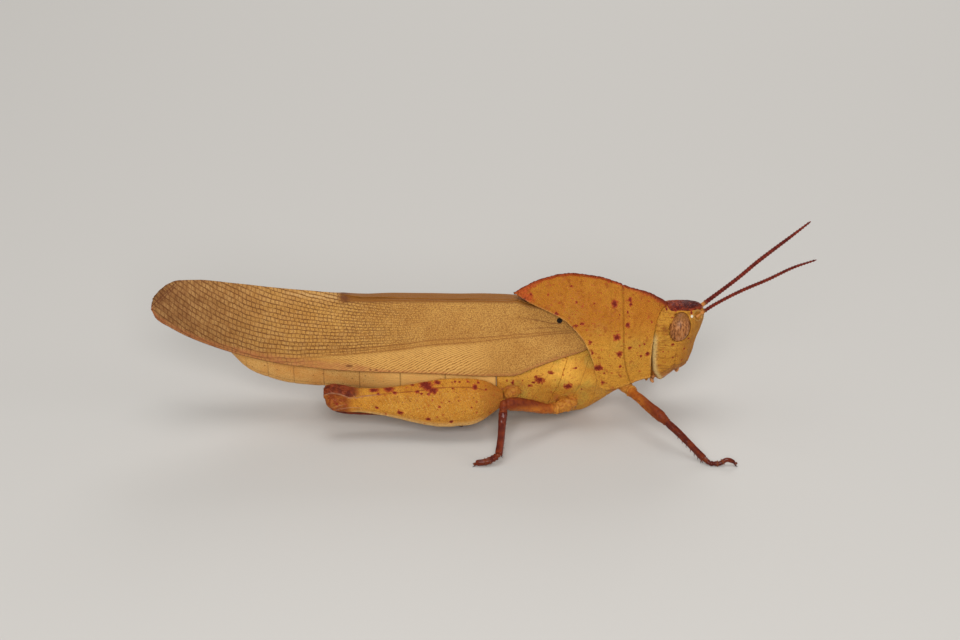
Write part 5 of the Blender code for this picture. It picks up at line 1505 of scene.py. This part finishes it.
JAW_LEVELS = (
    (4.95, 19.0, 17.7, 1.15, 18.3), (4.65, 18.9, 17.65, 1.15, 18.3), (4.35, 18.7, 17.65, 1.0, 18.2),
    (4.05, 18.5, 17.75, 0.7, 18.15),
)
PALP_PATH = ((17.95, 1.05, 4.95), (17.3, 1.45, 4.75), (17.0, 1.75, 4.5), (17.25, 1.75, 4.15))
PALP_RADII = (0.15, 0.17, 0.16, 0.15)
LABRUM_PATH = ((19.75, 0, 5.55), (19.65, 0, 5.15), (19.4, 0, 4.8))
LABRUM_WIDTHS, LABRUM_DEPTH = (1.1, 1.18, 0.85), 0.22
mouth = Finish("mouth_horn", 0.4)
mouth_colour = mouth.mottled((0.46, 0.16, 0.045), (0.60, 0.27, 0.10), 0.4, 3, 0.35, 0.62)
mouth.colour(mouth.blend(mouth.ramp(mouth.field("tipward"), 0.2, 0.9), mouth_colour, (0.05, 0.014, 0.008)))
mouth.bump(mouth.noise(0.12, 2), 0.015)
jaws = levels(JAW_LEVELS, 60, 140)
parting = bell(jaws[..., 1], 0.07) + bell(np.abs(jaws[..., 1]) - 0.62, 0.05) * 0.5
low_share = ease(-jaws[..., 2], -4.6, -3.9)
middle = jaws.mean(axis=1, keepdims=True)
jaws = jaws - unit(jaws - middle) * (parting * 0.13)[..., None]
piece = tube("jaw_pair", jaws, tipward=np.clip(low_share + parting * 0.8, 0, 1))
dress(piece, "mouthparts", mouth.material, "jaws")
rings, share, _, _ = limb(LABRUM_PATH, LABRUM_WIDTHS, LABRUM_DEPTH, 50, 70, (0.12, 0.25))
notch = bell(rings[..., 1], 0.22) * ease(share, 0.5, 1)[:, None]
rings[..., 2] += 0.22 * notch
piece = tube("lip", rings, tipward=0.25 * notch)
dress(piece, "mouthparts", mouth.material, "labrum")
for name, side in SIDES.items():
    rings, share, _, _ = limb(sided(side, PALP_PATH), PALP_RADII, PALP_RADII, 90, 24, (0.05, 0.12))
    joints = (bell(share - 0.34, 0.03) + bell(share - 0.66, 0.03))[:, None]
    piece = tube("feeler_palp_" + name, lift(rings, -0.07 * joints), tipward=0.3 + 0.4 * joints)
    dress(piece, "mouthparts", mouth.material, "palp_" + name)


# ---------------------------------------------------------------------------------------- antennae
# Each feeler stands in its socket on a broad first joint and a short second one. The rest is a row
# of slightly flattened joints with low dark rings between them, which tapers to a blunt tip.

ANTENNA_PATHS = {
    "left": (
        (21.5, 1.05, 10.95), (22.07, 1.12, 11.42), (24.15, 1.4, 13.05), (25.81, 1.8, 14.29),
        (27.46, 2.3, 15.6), (29.12, 2.9, 16.72), (30.78, 3.5, 17.8), (32.85, 4.2, 19.22),
    ),
    "right": (
        (21.35, 1.1, 11.2), (21.95, 1.12, 11.75), (22.49, 1.15, 12.2), (24.56, 1.55, 13.77),
        (25.81, 1.9, 14.66), (28.2, 2.7, 16.27), (30.6, 3.5, 18.02), (32.7, 4.2, 19.2),
    ),
}
ANTENNA_SIZES = {"left": 0.92, "right": 0.78}
ANTENNA_WIDTHS = np.array((0.25, 0.24, 0.21, 0.21, 0.22, 0.21, 0.18, 0.09))
ANTENNA_DEPTHS = np.array((0.25, 0.24, 0.21, 0.20, 0.20, 0.19, 0.16, 0.09))
ANTENNA_LENGTH = 13.6


def near_whole(value):
    """Distance to the nearest whole number."""
    return np.abs(value - np.round(value))


feeler = Finish("feeler_horn", 0.4, Specular_IOR_Level=0.08)
feeler_red = feeler.mottled((0.11, 0.011, 0.007), (0.20, 0.024, 0.012), 0.5, 3, 0.35, 0.62)
feeler_red = feeler.blend(feeler.field("joint", 0.7), feeler_red, (0.035, 0.008, 0.006))
feeler_red = feeler.blend(feeler.field("under", 0.6), feeler_red, (0.40, 0.095, 0.045))
feeler.colour(feeler.blend(feeler.field("root"), feeler_red, (0.56, 0.23, 0.06)))
feeler.bump(feeler.noise(0.1, 2), 0.012)
for name, side in SIDES.items():
    path, size = sided(side, ANTENNA_PATHS[name]), ANTENNA_SIZES[name]
    rings, share, turn, _ = limb(
        path, size * ANTENNA_WIDTHS, size * ANTENNA_DEPTHS, 700, 26, (0.01, 0.015)
    )
    length = ANTENNA_LENGTH * share
    bodies = np.where(length < 0.95, 0, 1)
    joints = np.where(length > 1.15, near_whole((length - 1.15) / 0.32), 0.5)
    low_rings = bell(joints, 0.13) + bell(length - 0.72, 0.05) + bell(length - 1.12, 0.05)
    sunk = 0.10 * bell(length - 0.42, 0.3) - 0.045 * low_rings + 0.02 * (joints - 0.25) * bodies
    stalk = lift(rings, sunk[:, None])
    joint, root = np.clip(low_rings, 0, 1)[:, None], 1 - ease(length, 0.8, 1.3)[:, None]
    under = np.clip(-np.sin(turn), 0, 1)[None] * ease(length, 1.2, 3)[:, None]
    piece = tube("feeler_" + name, stalk, joint=joint, under=under, root=root)
    dress(piece, "antenna", feeler.material, "antenna_" + name)


# ------------------------------------------------------------------------------------------- stage
# A pale floor, four soft lamps, the brightest in front and above, and a camera that looks down at
# the near side by LOOK_DOWN.

FLOOR_SIZE = 6.0
bpy.ops.mesh.primitive_plane_add(size=FLOOR_SIZE)
floor = bpy.context.object
floor.name = "floor"
ground = Finish("pale_floor", 0.85)
ground.shader.inputs["Base Color"].default_value = (0.60, 0.58, 0.55, 1)
floor.data.materials.append(ground.material)

world = bpy.data.worlds.new("soft_room")
bpy.context.scene.world = world
world.use_nodes = True
world.node_tree.nodes["Background"].inputs["Color"].default_value = (1.0, 0.98, 0.95, 1)
world.node_tree.nodes["Background"].inputs["Strength"].default_value = 0.30

AIM = Vector((-0.17, 0, 10.31)) * MM
for name, place, width, power in (
    ("key", (-10, -290, 190), 150, 0.74),
    ("top", (-30, 20, 300), 160, 0.24),
    ("side", (260, -60, 110), 120, 0.10),
    ("back", (40, 290, 170), 150, 0.30),
):
    lamp = bpy.data.lights.new(name, "AREA")
    lamp.size = width * MM
    lamp.energy = power
    holder = bpy.data.objects.new(name, lamp)
    holder.location = Vector(place) * MM
    holder.rotation_euler = (AIM - holder.location).to_track_quat("-Z", "Y").to_euler()
    bpy.context.scene.collection.objects.link(holder)

CAMERA_DISTANCE = 350 * MM
SEEN_WIDTH = 96 * MM
camera = bpy.data.cameras.new("watcher")
camera.sensor_width = 36
camera.lens = camera.sensor_width * CAMERA_DISTANCE / SEEN_WIDTH
camera.clip_start = 0.01
camera_stand = bpy.data.objects.new("watcher", camera)
behind = Vector((0, -math.cos(LOOK_DOWN), math.sin(LOOK_DOWN)))
camera_stand.location = AIM + behind * CAMERA_DISTANCE
camera_stand.rotation_euler = (math.pi / 2 - LOOK_DOWN, 0, 0)
bpy.context.scene.collection.objects.link(camera_stand)
bpy.context.scene.camera = camera_stand
bpy.context.scene.view_settings.view_transform = "Standard"
